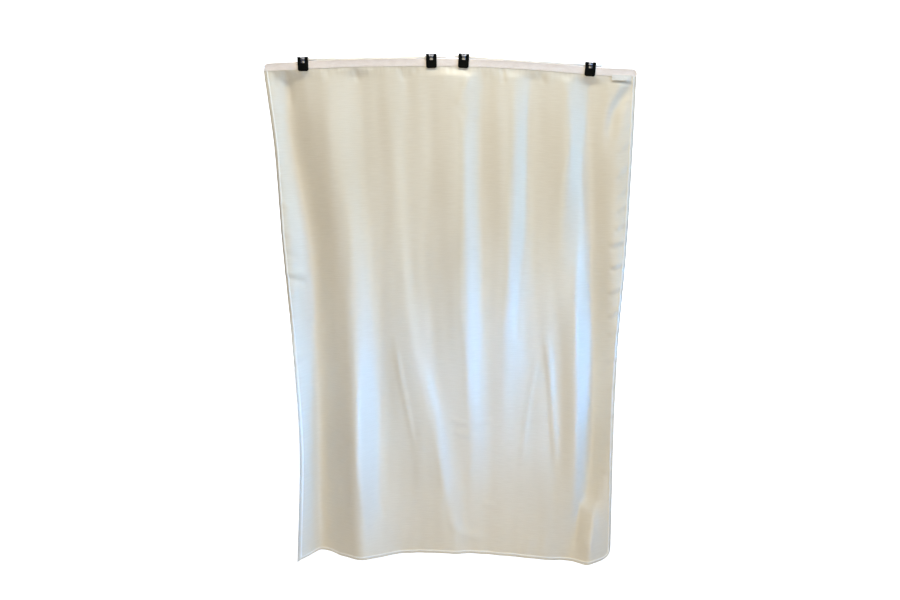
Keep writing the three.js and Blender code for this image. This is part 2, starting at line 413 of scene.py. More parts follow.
@dataclass(frozen=True)
class PlasticFinish:
    """Moulded black plastic with a fine grain and faint scuffs."""

    dark: Colour = (0.002, 0.003, 0.0035)
    scuffed: Colour = (0.007, 0.009, 0.01)
    roughness: float = 0.42
    fine_grain: Triple = (2600.0, 2600.0, 2600.0)
    scuff_grain: Triple = (90.0, 90.0, 420.0)
    scuff_span: Pair = (0.55, 0.75)
    scuff_roughness: float = 0.2

    def material(self) -> bpy.types.Material:
        """The jaws' material."""
        shader = Shader("black_plastic")
        grain = shader.noise(shader.place(False, self.fine_grain))
        noise = shader.noise(shader.place(False, self.scuff_grain), detail=4.0)
        scuff = noise.ease(*self.scuff_span)
        return shader.finish({
            "Base Color": shader.blend(scuff, self.dark, self.scuffed),
            "Roughness": scuff * self.scuff_roughness + self.roughness,
            "Specular IOR Level": 0.05,
            "Normal": shader.bump(grain, 0.05, 0.3),
        })


@dataclass(frozen=True)
class MetalFinish:
    """Bright metal with drawn lines along it and a few dull smudges."""

    name: str
    bright: Colour
    dull: Colour
    roughness: float
    line_grain: Triple
    line_depth: float
    smudge_grain: Triple = (45.0, 160.0, 160.0)
    smudge_span: Pair = (0.45, 0.75)
    smudge_roughness: float = 0.1
    line_roughness: float = 0.06

    def material(self) -> bpy.types.Material:
        """The metal's material."""
        shader = Shader(self.name)
        lines = shader.noise(shader.place(False, self.line_grain), detail=3.0)
        smudge = shader.noise(shader.place(False, self.smudge_grain)).ease(*self.smudge_span)
        return shader.finish({
            "Base Color": shader.blend(smudge, self.bright, self.dull),
            "Metallic": 1.0,
            "Roughness": smudge * self.smudge_roughness + lines * self.line_roughness + self.roughness,
            "Normal": shader.bump(lines, self.line_depth, 0.3),
        })


SPRING_STEEL = MetalFinish(
    "spring_steel", (0.17, 0.18, 0.23), (0.12, 0.13, 0.17), 0.2, (4000.0, 700.0, 700.0), 0.03
)
BAR_CHROME = MetalFinish(
    "bar_chrome", (0.95, 0.96, 1.0), (0.86, 0.88, 0.94), 0.45, (60.0, 2500.0, 2500.0), 0.01
)


@dataclass(frozen=True)
class BackgroundFinish:
    """Pale studio paper, lit through from behind the flag and plain in front of it."""

    name: str
    paper: Colour = (0.86, 0.86, 0.86)
    glow: float = 1.0
    glow_starts: float = -0.1
    glow_full: float = 0.6

    def material(self) -> bpy.types.Material:
        """The paper's material."""
        shader = Shader(self.name)
        _, back, _ = shader.axes(shader.place(False, (1.0, 1.0, 1.0)))
        share = back.ease(self.glow_starts, self.glow_full)
        return shader.finish({
            "Base Color": (*self.paper, 1.0),
            "Roughness": 0.9,
            "Specular IOR Level": 0.1,
            "Emission Color": shader.blend(share, (0.0, 0.0, 0.0), (1.0, 1.0, 1.0)),
            "Emission Strength": self.glow,
        })


# Curves and meshes


def bell(offset: Grid) -> Grid:
    """A smooth hump of height 1 about nought."""
    return np.exp(-offset * offset)


def ease(share: Grid) -> Grid:
    """A smooth step from 0 to 1."""
    held = np.clip(share, 0.0, 1.0)
    return held * held * (3 - 2 * held)


def lerp(low: Grid | float, high: Grid | float, share: Grid | float) -> Grid | float:
    """The value at a share of the way from low to high."""
    return low + (high - low) * share


def through(stops: Sequence[float], values: Sequence[float], place: Grid | float) -> Grid:
    """A smooth curve through every stop's value.

    Args:
        stops: rising places.
        values: the value at each stop.
        place: where the curve is read.

    Returns:
        The curve's values there.
    """
    at, value = np.asarray(stops, float), np.asarray(values, float)
    place = np.clip(place, at[0], at[-1])
    last = len(at) - 1
    after = np.clip(np.searchsorted(at, place), 1, last)
    before = after - 1

    def slope(i: Grid) -> Grid:
        """The curve's slope at a stop."""
        low, high = np.maximum(i - 1, 0), np.minimum(i + 1, last)
        return (value[high] - value[low]) / (at[high] - at[low])

    span = at[after] - at[before]
    t = (place - at[before]) / span
    leave = t * (1 - t) ** 2 * span * slope(before)
    arrive = t * t * (t - 1) * span * slope(after)
    return lerp(value[before], value[after], ease(t)) + leave + arrive


def rounding(distance: Grid, radius: float) -> Grid:
    """How much a rounded corner takes off an edge at a distance from the corner's end."""
    short = np.clip(radius - distance, 0.0, radius)
    return radius - np.sqrt(radius * radius - short * short)


def spaced(stops: Sequence[float], steps: Sequence[float]) -> Grid:
    """Places along a line that are closer together in some stretches.

    Args:
        stops: where the stretches begin and end.
        steps: the largest step in each stretch.

    Returns:
        The rising places.
    """
    runs = [
        np.linspace(low, high, math.ceil((high - low) / step), endpoint=False)
        for low, high, step in zip(stops[:-1], stops[1:], steps)
    ]
    return np.concatenate([*runs, [stops[-1]]])


def plain_mesh(name: str, points: Grid, faces: Sequence[Sequence[int]]) -> bpy.types.Object:
    """A mesh object at the origin.

    Args:
        name: the piece's name.
        points: its corners in millimetres.
        faces: corner numbers of each face, turning left as seen from outside.

    Returns:
        The object, smooth but for its sharp edges.
    """
    mesh = bpy.data.meshes.new(name)
    mesh.from_pydata((np.asarray(points, float) * MM).tolist(), [], faces)
    mesh.shade_smooth()
    mesh.set_sharp_from_angle(angle=SHARP_ANGLE)
    made = bpy.data.objects.new(name, mesh)
    bpy.context.scene.collection.objects.link(made)
    return made


def closed_sheet(name: str, outer: Grid, inner: Grid, uv: Grid) -> bpy.types.Object:
    """A thin closed sheet between two grids of points.

    Args:
        name: the piece's name.
        outer: points of the outer face, rows running down and columns to the right as seen from outside.
        inner: points of the inner face.
        uv: each grid place on the flat cloth, in millimetres.

    Returns:
        The sheet, with its flat places as a UV map in metres.
    """
    rows, columns = outer.shape[:2]
    front = np.arange(rows * columns).reshape(rows, columns)
    back = front + rows * columns

    def quads(*corners: Grid) -> list[list[int]]:
        """Four-cornered faces from four arrays of corner numbers."""
        return np.stack(corners, axis=-1).reshape(-1, 4).tolist()

    faces = [
        *quads(front[:-1, :-1], front[1:, :-1], front[1:, 1:], front[:-1, 1:]),
        *quads(back[:-1, :-1], back[:-1, 1:], back[1:, 1:], back[1:, :-1]),
        *quads(front[1:, 0], front[:-1, 0], back[:-1, 0], back[1:, 0]),
        *quads(front[:-1, -1], front[1:, -1], back[1:, -1], back[:-1, -1]),
        *quads(front[0, :-1], front[0, 1:], back[0, 1:], back[0, :-1]),
        *quads(front[-1, 1:], front[-1, :-1], back[-1, :-1], back[-1, 1:]),
    ]
    points = np.concatenate([outer.reshape(-1, 3), inner.reshape(-1, 3)])
    made = plain_mesh(name, points, faces)
    flat = np.tile(uv.reshape(-1, 2), (2, 1)) * MM
    corners = np.zeros(len(made.data.loops), np.int32)
    made.data.loops.foreach_get("vertex_index", corners)
    layer = made.data.uv_layers.new(name=UV_NAME)
    layer.data.foreach_set("uv", flat[corners].astype(np.float32).ravel())
    return made


def settled(made: bpy.types.Object) -> bpy.types.Object:
    """Turns an object's evaluated shape into its plain mesh and drops its modifiers."""
    graph = bpy.context.evaluated_depsgraph_get()
    mesh = bpy.data.meshes.new_from_object(made.evaluated_get(graph))
    made.modifiers.clear()
    made.data = mesh
    mesh.name = made.name
    return made


def dress(
    made: bpy.types.Object, material: bpy.types.Material, slot: str, *nodes: str
) -> bpy.types.Object:
    """Gives a piece its finish and its place in the frame.

    Args:
        made: the piece.
        material: its finish.
        slot: a material slot's name; not used.
        nodes: the solids that it stands for.

    Returns:
        The piece.
    """
    made.data.materials.clear()
    made.data.materials.append(material)
    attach(made, BODY)
    if nodes:
        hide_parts(*nodes)
    LOG.info("%s: %d faces", made.name, len(made.data.polygons))
    return made


# The cloth's hang


@dataclass(frozen=True)
class Fold:
    """A soft fold that runs down the cloth, given at each station.

    Attributes:
        centre: where its middle line runs, as x.
        rise: how far it stands out to the front, or lies back where negative.
        left: how far it spreads to its left.
        right: how far it spreads to its right.
    """

    centre: Table
    rise: Table
    left: float
    right: float

    def lift(self, x: Grid, drop: Grid, stations: Table) -> Grid:
        """How far the fold lifts the cloth at some places."""
        offset = x - through(stations, self.centre, drop)
        spread = np.where(offset < 0, self.left, self.right)
        return through(stations, self.rise, drop) * bell(offset / spread)


@dataclass(frozen=True)
class Crease:
    """A narrow ridge, or a trough where its rise is negative, along a line on the cloth.

    Attributes:
        x: where its line runs from start to end.
        drop: how far below the seam each of those points lies.
        rise: its height at the middle of its length.
        width: how far it spreads to either side.
        taper: the share of its length over which it fades at each end.
        step: between the points at which its line is measured.
        reach: how many widths from its line it is worked out.
    """

    x: Table
    drop: Table
    rise: float
    width: float
    taper: float = 0.3
    step: float = 1.5
    reach: float = 3.0

    def lift(self, x: Grid, drop: Grid) -> Grid:
        """How far the crease lifts the cloth at some places.

        Args:
            x: the places' x.
            drop: how far they lie below the seam.

        Returns:
            The lift there, fading at the crease's ends.
        """
        knots = np.linspace(0.0, 1.0, len(self.x))
        length = float(np.hypot(np.diff(self.x), np.diff(self.drop)).sum())
        along = np.linspace(0.0, 1.0, math.ceil(length / self.step) + 1)
        line_x, line_drop = through(knots, self.x, along), through(knots, self.drop, along)

        def beside(place: Grid, line: Grid) -> Grid:
            """Whether places lie within the crease's reach along one axis."""
            middle, half = (line.min() + line.max()) / 2, np.ptp(line) / 2
            return np.abs(place - middle) < half + self.reach * self.width

        near = beside(x, line_x) & beside(drop, line_drop)
        lift = np.zeros_like(x)
        if not near.any():
            return lift
        gap = np.hypot(x[near][:, None] - line_x, drop[near][:, None] - line_drop)
        nearest = along[gap.argmin(axis=1)]
        fade = ease(np.minimum(nearest, 1 - nearest) / self.taper)
        lift[near] = self.rise * bell(gap.min(axis=1) / self.width) * fade
        return lift


FOLDS: dict[str, Fold] = {
    "left_edge_roll": Fold((-445, -434, -418, -402, -392, -410), (6, 8, 10, 18, 22, 14), 45, 30),
    "left_hollow": Fold((-412, -394, -354, -346, -346, -348), (-11, -30, -28, -40, -46, -50), 30, 44),
    "left_ridge": Fold((-307, -286, -254, -244, -238, -230), (5, 8, 10, 18, 42, 34), 44, 34),
    "second_hollow": Fold((-230, -209, -200, -182, -178, -185), (-4, -4, -2, -3, -8, 18), 30, 42),
    "slanting_ridge": Fold((-144, -139, -126, -100, -41, 15), (4, 4, 5, 8, 12, 8), 62, 25),
    "middle_hollow": Fold((-53, -49, -32, -25, 17, 69), (-1, -2, -2, -3, -4, -1), 35, 35),
    "middle_ridge": Fold((42, 31, 34, 39, 48, 54), (4, 19, 23, 22, 12, 0), 115, 26),
    "middle_dip": Fold((90, 86, 96, 98, 102, 110), (-3, -4, -4, -4, -2, 0), 28, 36),
    "right_middle_ridge": Fold((160, 153, 147, 138, 131, 131), (8, 20, 22, 13, 2, 0), 80, 29),
    "right_middle_dip": Fold((206, 201, 200, 188, 187, 191), (-5, -5, -4, -2, 0, 0), 24, 40),
    "lower_belly": Fold((220, 220, 220, 220, 230, 250), (0, 0, 0, 2, 6, 12), 150, 90),
    "upper_right_ridge": Fold((285, 292, 272, 258, 258, 264), (7, 15, 6, 4, 2, 0), 60, 26),
    "right_ridge": Fold((290, 298, 308, 320, 324, 314), (0, 2, 8, 25, 25, -8), 36, 24),
    "right_hollow": Fold((346, 351, 362, 374, 374, 346), (-5, -12, -14, -18, -24, 12), 26, 30),
    "right_margin": Fold((424, 420, 418, 424, 424, 424), (5, 12, 17, 18, 12, 2), 42, 60),
    "corner_ridge": Fold((418, 418, 418, 414, 398, 366), (0, 0, 0, 0, 12, 25), 20, 70),
    "corner_pull": Fold((420, 376, 366, 366, 366, 366), (4, 3, 0, 0, 0, 0), 28, 25),
    "corner_curl": Fold((470, 464, 460, 452, 446, 440), (0, 0, -2, -4, -3, -6), 60, 40),
}

CREASES: dict[str, Crease] = {
    "slant_line": Crease((-74, -54, -33, -17, 6), (720, 800, 894, 1056, 1167), 2.8, 11),
    "slant_foot": Crease((-4, 12, 50, 108), (1110, 1178, 1204, 1208), 3.0, 12),
    "slant_pleat": Crease((-144, -129, -109, -86), (660, 763, 868, 996), 2.2, 7),
    "right_pleat": Crease((241, 255, 271, 273), (628, 737, 921, 1015), 5.0, 9),
    "leaning_pleat": Crease((229, 213, 196, 182), (672, 776, 894, 1034), 2.0, 6.5),
    "clip_buckle": Crease((48, 33, 17), (10, 58, 104), 3.6, 12),
    "clip_tension": Crease((25, 52), (1, 24), -1.6, 5),
    "cross_wrinkle_upper": Crease((-5, 26, 57), (889, 896, 899), 1.6, 6),
    "cross_wrinkle_lower": Crease((5, 40, 78), (923, 929, 931), 1.6, 6),
    "cross_wrinkle_right": Crease((52, 84, 117), (899, 895, 889), 1.3, 6),
    "cross_wrinkle_foot": Crease((84, 104, 124), (1119, 1119, 1117), 1.4, 6),
    "left_bend_trough": Crease((-424, -396, -362), (504, 513, 534), -5.0, 8),
    "left_bend_ridge": Crease((-424, -392, -352), (490, 497, 512), 3.0, 10),
    "left_low_trough": Crease((-408, -386, -364), (738, 728, 714), -3.0, 7.5),
    "left_low_ridge": Crease((-408, -384, -360), (724, 714, 700), 2.2, 8),
    "left_faint_bend": Crease((-426, -404, -380), (447, 452, 460), -2.0, 7),
    "left_faint_foot": Crease((-400, -386, -372), (882, 877, 870), -2.0, 7),
    "left_pucker_1": Crease((-441, -405), (245, 274), 1.7, 7),
    "left_pucker_2": Crease((-437, -397), (304, 339), 2.0, 7.5),
    "left_pucker_3": Crease((-432, -389), (384, 411), 1.7, 7),
    "dark_flank_line": Crease((-286, -284, -282), (880, 1010, 1190), -1.2, 6),
    "corner_fold": Crease((448, 430, 415, 406, 398, 390), (4, 42, 70, 89, 130, 205), -11.0, 14, 0.3),
    "second_edge": Crease(
        (-224, -233, -235, -238, -227, -222), (744, 828, 912, 999, 1087, 1176), 1.5, 8, 0.15
    ),
    "second_valley": Crease(
        (-196, -187, -188, -189, -187, -169), (744, 828, 912, 999, 1087, 1176), -1.5, 9, 0.15
    ),
    "middle_edge": Crease(
        (18, 30, 33, 33, 29, 28, 33, 42, 44), (106, 140, 218, 336, 456, 579, 661, 744, 880), 1.3, 8, 0.06
    ),
    "middle_valley": Crease(
        (79, 74, 75, 73, 79, 79, 80, 75, 74), (10, 101, 218, 336, 456, 579, 661, 744, 880), -1.4, 9, 0.06
    ),
    "right_middle_edge": Crease(
        (155, 154, 147, 146, 145, 138, 141), (10, 181, 304, 404, 504, 607, 690), 1.3, 8, 0.08
    ),
    "right_middle_valley": Crease(
        (198, 190, 189, 189, 176, 169, 172), (-30, 181, 304, 404, 504, 607, 690), -2.4, 8, 0.1
    ),
    "upper_right_edge": Crease(
        (284, 295, 299, 278, 274), (10, 101, 179, 257, 330), 1.2, 9, 0.12
    ),
    "upper_right_valley": Crease(
        (344, 342, 331, 330, 338, 342), (-20, 101, 179, 257, 336, 418), -1.8, 9, 0.12
    ),
    "right_edge": Crease(
        (323, 320, 319, 321, 324, 327, 329), (376, 497, 579, 661, 828, 955, 1087), 1.8, 8, 0.12
    ),
    "right_valley": Crease(
        (356, 358, 359, 366, 373, 375, 371), (376, 497, 579, 661, 828, 955, 1042), -3.2, 9, 0.12
    ),
    "left_valley": Crease((-360, -362, -356, -352, -355), (780, 912, 999, 1087, 1190), -2.0, 9, 0.15),
    "left_top_valley": Crease((-412, -400, -396), (-24, 30, 110), -6.0, 11),
    "right_foot_valley": Crease((340, 338, 336, 333), (1060, 1120, 1180, 1240), -7.0, 10, 0.3),
    "right_foot_fill": Crease((366, 362, 358, 354), (1070, 1120, 1180, 1246), 14.0, 21, 0.3),
    "seam_gather_1": Crease((-240, -224), (-10, 40), -2.6, 6),
    "seam_gather_2": Crease((-126, -113), (-10, 40), -2.2, 6),
    "seam_gather_3": Crease((131, 132), (-14, 44), -2.4, 5.5),
    "seam_gather_4": Crease((216, 236), (-8, 40), -1.8, 6),
    "seam_gather_5": Crease((-304, -298), (-6, 30), -1.4, 6),
    "seam_gather_6": Crease((-432, -436), (-10, 44), -2.0, 6),
    "hem_ripple_1": Crease((212, 196), (1190, 1250), 2.0, 9),
    "hem_ripple_2": Crease((251, 241), (1184, 1250), 1.6, 9),
}


@dataclass(frozen=True)
class Pucker:
    """A short lump that the right hem draws into the cloth, lit above and shaded below.

    Attributes:
        x: where it begins, at the hem.
        drop: how far below the seam it begins.
        length: how far it runs in from the hem.
        fall: how far it runs down on the way.
        rise: its height.
        width: how far it spreads to either side.
        trough_depth: the depth of the trough under it, as a share of its height.
        trough_below: how many widths below it the trough lies.
        trough_width: the trough's spread, as a share of its own.
    """

    x: float
    drop: float
    length: float
    fall: float
    rise: float
    width: float
    trough_depth: float = 0.8
    trough_below: float = 1.3
    trough_width: float = 0.8

    def creases(self) -> tuple[Crease, Crease]:
        """The lump's ridge and the trough under it."""
        ends = (self.x, self.x - self.length)
        top = (self.drop, self.drop + self.fall)
        under = tuple(drop + self.trough_below * self.width for drop in top)
        ridge = Crease(ends, top, self.rise, self.width)
        trough = Crease(ends, under, -self.trough_depth * self.rise, self.width * self.trough_width)
        return ridge, trough


PUCKERS: tuple[Pucker, ...] = (
    Pucker(450, 52, 26, 14, 1.4, 6),
    Pucker(452, 106, 28, 26, 1.6, 6),
    Pucker(449, 150, 34, 40, 2.0, 7),
    Pucker(447, 204, 34, 44, 2.4, 8),
    Pucker(445, 262, 28, 34, 1.8, 7),
    Pucker(444, 306, 30, 26, 2.2, 7),
    Pucker(443, 352, 32, 24, 2.4, 8),
    Pucker(443, 398, 46, 16, 3.4, 9),
    Pucker(441, 452, 38, 20, 3.2, 8),
    Pucker(438, 512, 40, 24, 3.0, 9),
    Pucker(435, 568, 34, 30, 2.6, 8),
    Pucker(432, 622, 30, 22, 2.2, 8),
    Pucker(430, 690, 32, 26, 2.0, 8),
    Pucker(428, 762, 28, 24, 1.8, 7),
    Pucker(426, 838, 30, 26, 1.8, 8),
    Pucker(425, 910, 26, 22, 1.5, 7),
    Pucker(425, 985, 26, 24, 1.4, 7),
    Pucker(426, 1060, 22, 20, 1.2, 7),
)


@dataclass(frozen=True)
class Gathers:
    """Short upright puckers where the heading's seam draws the satin in.

    Attributes:
        spacing: from one pucker to the next, times a share within spacing_shares.
        height: of a pucker, times a share within height_shares.
        width: how far a pucker spreads to either side.
        reach: how far it runs down, times a share within reach_shares.
        settle: the drop over which the puckers grow out of the seam.
    """

    spacing: float = 27.0
    spacing_shares: Pair = (0.5, 1.5)
    height: float = 1.5
    height_shares: Pair = (-0.9, 1.0)
    width: float = 6.5
    reach: float = 34.0
    reach_shares: Pair = (0.6, 1.6)
    settle: float = 7.0
    seed: int = 11

    def lift(self, x: Grid, drop: Grid, left: float, right: float) -> Grid:
        """How far the puckers lift the cloth.

        Args:
            x: the places' x.
            drop: how far they lie below the seam.
            left: x of the seam's left end.
            right: x of its right end.

        Returns:
            The lift there.
        """
        draw = np.random.default_rng(self.seed)
        lift = np.zeros_like(x)
        centre = left
        while centre < right:
            centre += self.spacing * draw.uniform(*self.spacing_shares)
            height = self.height * draw.uniform(*self.height_shares)
            reach = self.reach * draw.uniform(*self.reach_shares)
            lift += height * bell((x - centre) / self.width) * bell(drop / reach)
        return lift * ease(drop / self.settle)


@dataclass(frozen=True)
class Waver:
    """The slight unevenness of soft cloth: faint upright waves that wander as they run down.

    Attributes:
        count: how many waves there are.
        height: of the longest wave, the others being lower in proportion.
        shortest: length of the shortest wave.
        longest: length of the longest one.
        slant: how far a wave wanders to a side at most, as a share of its run down.
        beats: the shortest and the longest drop over which a wave swells and ebbs.
        steady: the share of a wave's height that does neither.
    """

    count: int = 8
    height: float = 0.45
    shortest: float = 34.0
    longest: float = 96.0
    slant: float = 0.1
    beats: Pair = (300.0, 800.0)
    steady: float = 0.6
    seed: int = 5

    def lift(self, x: Grid, drop: Grid) -> Grid:
        """How far the waves lift the cloth at some places."""
        draw = np.random.default_rng(self.seed)
        lift = np.zeros_like(x)
        least, most = (-1, 0, self.beats[0], 0), (1, 1, self.beats[1], 1)
        for length in np.geomspace(self.shortest, self.longest, self.count):
            lean, start, beat, beat_start = draw.uniform(least, most)
            wave = np.sin(2 * math.pi * ((x + self.slant * lean * drop) / length + start))
            swell = lerp(np.sin(2 * math.pi * (drop / beat + beat_start)), 1.0, self.steady)
            lift += self.height * length / self.longest * wave * swell
        return lift


@dataclass(frozen=True)
class HemWave:
    """The ripple of a sewn hem, which dies away into the cloth."""

    height: float = 0.9
    lengths: Pair = (38.0, 61.0)
    reach: float = 16.0

    def lift(self, along: Grid, inset: Grid) -> Grid:
        """How far the ripple lifts the cloth at a distance from the hem's edge."""
        waves = sum(np.sin(2 * math.pi * along / length) for length in self.lengths)
        return self.height / 2 * waves * bell(inset / self.reach)


@dataclass(frozen=True)
class Drape:
    """How the satin hangs: its edges, its seam, and how far each place stands out to the front.

    Attributes:
        drop: the cloth's flat height below the seam.
        stations: drops at which the edges, the hems and the folds are given.
        left: x of the left edge at each station.
        right: x of the right edge at each station.
        arch_x: places along the heading.
        arch_z: height of the heading's top edge at those places.
        extra: how much lower than its flat height the cloth hangs there.
        corner: radius of the lower right corner.
        corner_lift: how far that corner is drawn up, within corner_lift_spread of it.
        left_hem_turn: the slope at which the left hem turns back at each station.
        right_hem_turn: the same of the right hem.
        settle: the drop over which the folds grow out of the seam.
        swell: how far the cloth stands out below the seam, about the drop swell_at.
        middle_swell: how much more it stands out there between the middle clips.
        normal_step: between the points from which a normal is worked out.
    """

    drop: float = 1256.0
    stations: Table = (0, 180, 425, 680, 950, 1256)
    left: Table = (-458, -438, -423, -402, -390, -402)
    right: Table = (459, 453, 444, 428, 422, 424)
    arch_x: Table = (-457, -257, -60, 60, 198, 370, 459)
    arch_z: Table = (-16.0, -6.4, -4.0, -5.6, -12.4, -25.8, -29.6)
    extra: Table = (7.5, 4.2, 1.2, 1.8, 2.5, 4.5, 4.0)
    heading_height: float = 18.0
    seam_gap: float = 0.3
    corner: float = 30.0
    corner_lift: float = 16.0
    corner_lift_spread: float = 65.0
    hem_width: float = 8.0
    left_hem_turn: Table = (0, 0.7, 0.7, 0, -0.2, -1.2)
    right_hem_turn: Table = (0, 0, 0.1, 0, 0, 0)
    settle: float = 26.0
    swell: float = -2.5
    swell_at: float = 22.0
    swell_spread: float = 66.0
    middle_swell: float = 7.0
    middle_swell_x: float = -8.0
    middle_swell_width: float = 62.0
    gathers: Gathers = Gathers()
    waver: Waver = Waver()
    hem_wave: HemWave = HemWave()
    normal_step: float = 1.0

    @property
    def width(self) -> float:
        """The panel's flat width."""
        return self.right[0] - self.left[0]

    def heading_top(self, x: Grid) -> Grid:
        """Height of the heading's top edge."""
        return through(self.arch_x, self.arch_z, x)

    def seam_height(self, x: Grid) -> Grid:
        """Height of the seam under the heading."""
        return self.heading_top(x) - self.heading_height

    def stand_out(self, across: Grid, x: Grid, drop: Grid) -> Grid:
        """How far the cloth stands out to the front.

        Args:
            across: share of the way from the left edge to the right one.
            x: the places' x.
            drop: how far they lie below the seam.

        Returns:
            The rise there.
        """
        middle = self.middle_swell * bell((x - self.middle_swell_x) / self.middle_swell_width)
        rise = (self.swell + middle) * bell((drop - self.swell_at) / self.swell_spread)
        rise = rise + sum(fold.lift(x, drop, self.stations) for fold in FOLDS.values())
        rise = rise + self.waver.lift(x, drop)
        rise = rise + self.hem_wave.lift(drop, np.minimum(across, 1 - across) * self.width)
        rise = rise + self.hem_wave.lift(x, self.drop - drop)
        rise = rise * ease(drop / self.settle)
        rise = rise + self.gathers.lift(x, drop, self.left[0], self.right[0])
        narrow = [*CREASES.values(), *(crease for pucker in PUCKERS for crease in pucker.creases())]
        return rise + sum(crease.lift(x, drop) for crease in narrow) * ease(drop / self.gathers.settle)

    def hem_turn(self, across: Grid, drop: Grid) -> Grid:
        """How far the side hems turn back from the cloth beside them."""
        left = np.clip(self.hem_width - across * self.width, 0, self.hem_width)
        right = np.clip(self.hem_width - (1 - across) * self.width, 0, self.hem_width)
        turned_left = left * through(self.stations, self.left_hem_turn, drop)
        return turned_left + right * through(self.stations, self.right_hem_turn, drop)

    def points(self, across: Grid, drop: Grid) -> Grid:
        """Points of the cloth's middle layer.

        Args:
            across: share of the way from the left edge to the right one.
            drop: how far below the seam, before the corner's rounding.

        Returns:
            An array of points.
        """
        seam_x = lerp(self.left[0], self.right[0], across)
        to_corner = (1 - across) * self.width
        lifted = self.corner_lift * bell(to_corner / self.corner_lift_spread)
        drop = drop * (1 - (rounding(to_corner, self.corner) + lifted) / self.drop)
        left, right = through(self.stations, self.left, drop), through(self.stations, self.right, drop)
        x = lerp(left, right, across)
        y = self.hem_turn(across, drop) - self.stand_out(across, x, drop)
        hang = drop * (1 + through(self.arch_x, self.extra, seam_x) / self.drop)
        return np.stack([x, y, self.seam_height(seam_x) - self.seam_gap - hang], axis=-1)

    def normals(self, across: Grid, drop: Grid) -> Grid:
        """Unit normals to the front, from the slopes across and down the cloth."""
        step = self.normal_step
        aside = step / self.width
        along_width = self.points(across + aside, drop) - self.points(across - aside, drop)
        along_drop = self.points(across, drop + step) - self.points(across, drop - step)
        normal = np.cross(along_drop, along_width)
        return normal / np.linalg.norm(normal, axis=-1, keepdims=True)


@dataclass(frozen=True)
class Stitching:
    """Straight machine stitches laid one after another along lines.

    Attributes:
        pitch: from one stitch to the next.
        length: of the thread that shows in each stitch.
        thread: the thread's thickness.
        seed: of the stitches' small unevenness.
        smallest: a stitch's least share of its length and thickness.
        largest: the greatest share.
        sides: of a stitch's mesh.
        rings: of a stitch's mesh.
    """

    pitch: float = 2.8
    length: float = 2.5
    thread: float = 0.8
    seed: int = 3
    smallest: Triple = (0.88, 0.9, 0.9)
    largest: Triple = (1.06, 1.1, 1.1)
    sides: int = 6
    rings: int = 4

    def tree(self) -> bpy.types.NodeTree:
        """The node tree that lays the stitches.

        Returns:
            A tree with the inputs Pitch, Length, Thread, Seed and Finish.
        """
        tree = bpy.data.node_groups.new("stitch_rows", "GeometryNodeTree")
        face = tree.interface
        face.new_socket("Geometry", in_out="INPUT", socket_type="NodeSocketGeometry")
        for name in ("Pitch", "Length", "Thread"):
            face.new_socket(name, in_out="INPUT", socket_type="NodeSocketFloat")
        face.new_socket("Seed", in_out="INPUT", socket_type="NodeSocketInt")
        face.new_socket("Finish", in_out="INPUT", socket_type="NodeSocketMaterial")
        face.new_socket("Geometry", in_out="OUTPUT", socket_type="NodeSocketGeometry")

        def node(kind: str, settings: dict[str, Any], **inputs: Any) -> bpy.types.Node:
            """Adds a node with its settings, and its inputs by name with _ for a space."""
            made = tree.nodes.new(kind)
            for name, value in settings.items():
                setattr(made, name, value)
            for name, value in inputs.items():
                socket = next(s for s in made.inputs if s.enabled and s.name == name.replace("_", " "))
                if isinstance(value, bpy.types.NodeSocket):
                    tree.links.new(value, socket)
                else:
                    socket.default_value = value
            return made

        given = node("NodeGroupInput", {}).outputs
        line = node("GeometryNodeMeshToCurve", {}, Mesh=given["Geometry"])
        spaced_line = node(
            "GeometryNodeResampleCurve", {"mode": "LENGTH"}, Curve=line.outputs[0], Length=given["Pitch"]
        )
        size = node(
            "ShaderNodeCombineXYZ", {}, X=given["Length"], Y=given["Thread"], Z=given["Thread"]
        )
        bead = node("GeometryNodeMeshUVSphere", {}, Segments=self.sides, Rings=self.rings, Radius=0.5)
        stitch = node("GeometryNodeTransform", {}, Geometry=bead.outputs[0], Scale=size.outputs[0])
        tangent = node("GeometryNodeInputTangent", {})
        turned = node("FunctionNodeAlignRotationToVector", {"axis": "X"}, Vector=tangent.outputs[0])
        uneven = node(
            "FunctionNodeRandomValue",
            {"data_type": "FLOAT_VECTOR"},
            Min=self.smallest,
            Max=self.largest,
            Seed=given["Seed"],
        )
        laid = node(
            "GeometryNodeInstanceOnPoints",
            {},
            Points=spaced_line.outputs[0],
            Instance=stitch.outputs[0],
            Rotation=turned.outputs[0],
            Scale=uneven.outputs[0],
        )
        real = node("GeometryNodeRealizeInstances", {}, Geometry=laid.outputs[0])
        dyed = node(
            "GeometryNodeSetMaterial", {}, Geometry=real.outputs[0], Material=given["Finish"]
        )
        node("NodeGroupOutput", {}, Geometry=dyed.outputs[0])
        return tree

    def sew(self, name: str, lines: Sequence[Grid], material: bpy.types.Material) -> bpy.types.Object:
        """Sews stitches along some lines.

        Args:
            name: the piece's name.
            lines: arrays of points in millimetres.
            material: the thread's finish.

        Returns:
            All the stitches as one plain mesh.
        """
        starts = np.cumsum([0, *(len(line) for line in lines)])
        edges = [(i, i + 1) for a, b in zip(starts[:-1], starts[1:]) for i in range(a, b - 1)]
        mesh = bpy.data.meshes.new(name)
        mesh.from_pydata((np.concatenate(lines) * MM).tolist(), edges, [])
        made = bpy.data.objects.new(name, mesh)
        bpy.context.scene.collection.objects.link(made)
        tree = self.tree()
        sizes = {
            "Pitch": self.pitch * MM,
            "Length": self.length * MM,
            "Thread": self.thread * MM,
            "Seed": self.seed,
            "Finish": material,
        }
        modifier = made.modifiers.new("stitches", "NODES")
        modifier.node_group = tree
        for item in tree.interface.items_tree:
            if item.in_out == "INPUT" and item.name in sizes:
                modifier[item.identifier] = sizes[item.name]
        settled(made)
        made.data.shade_smooth()
        return made


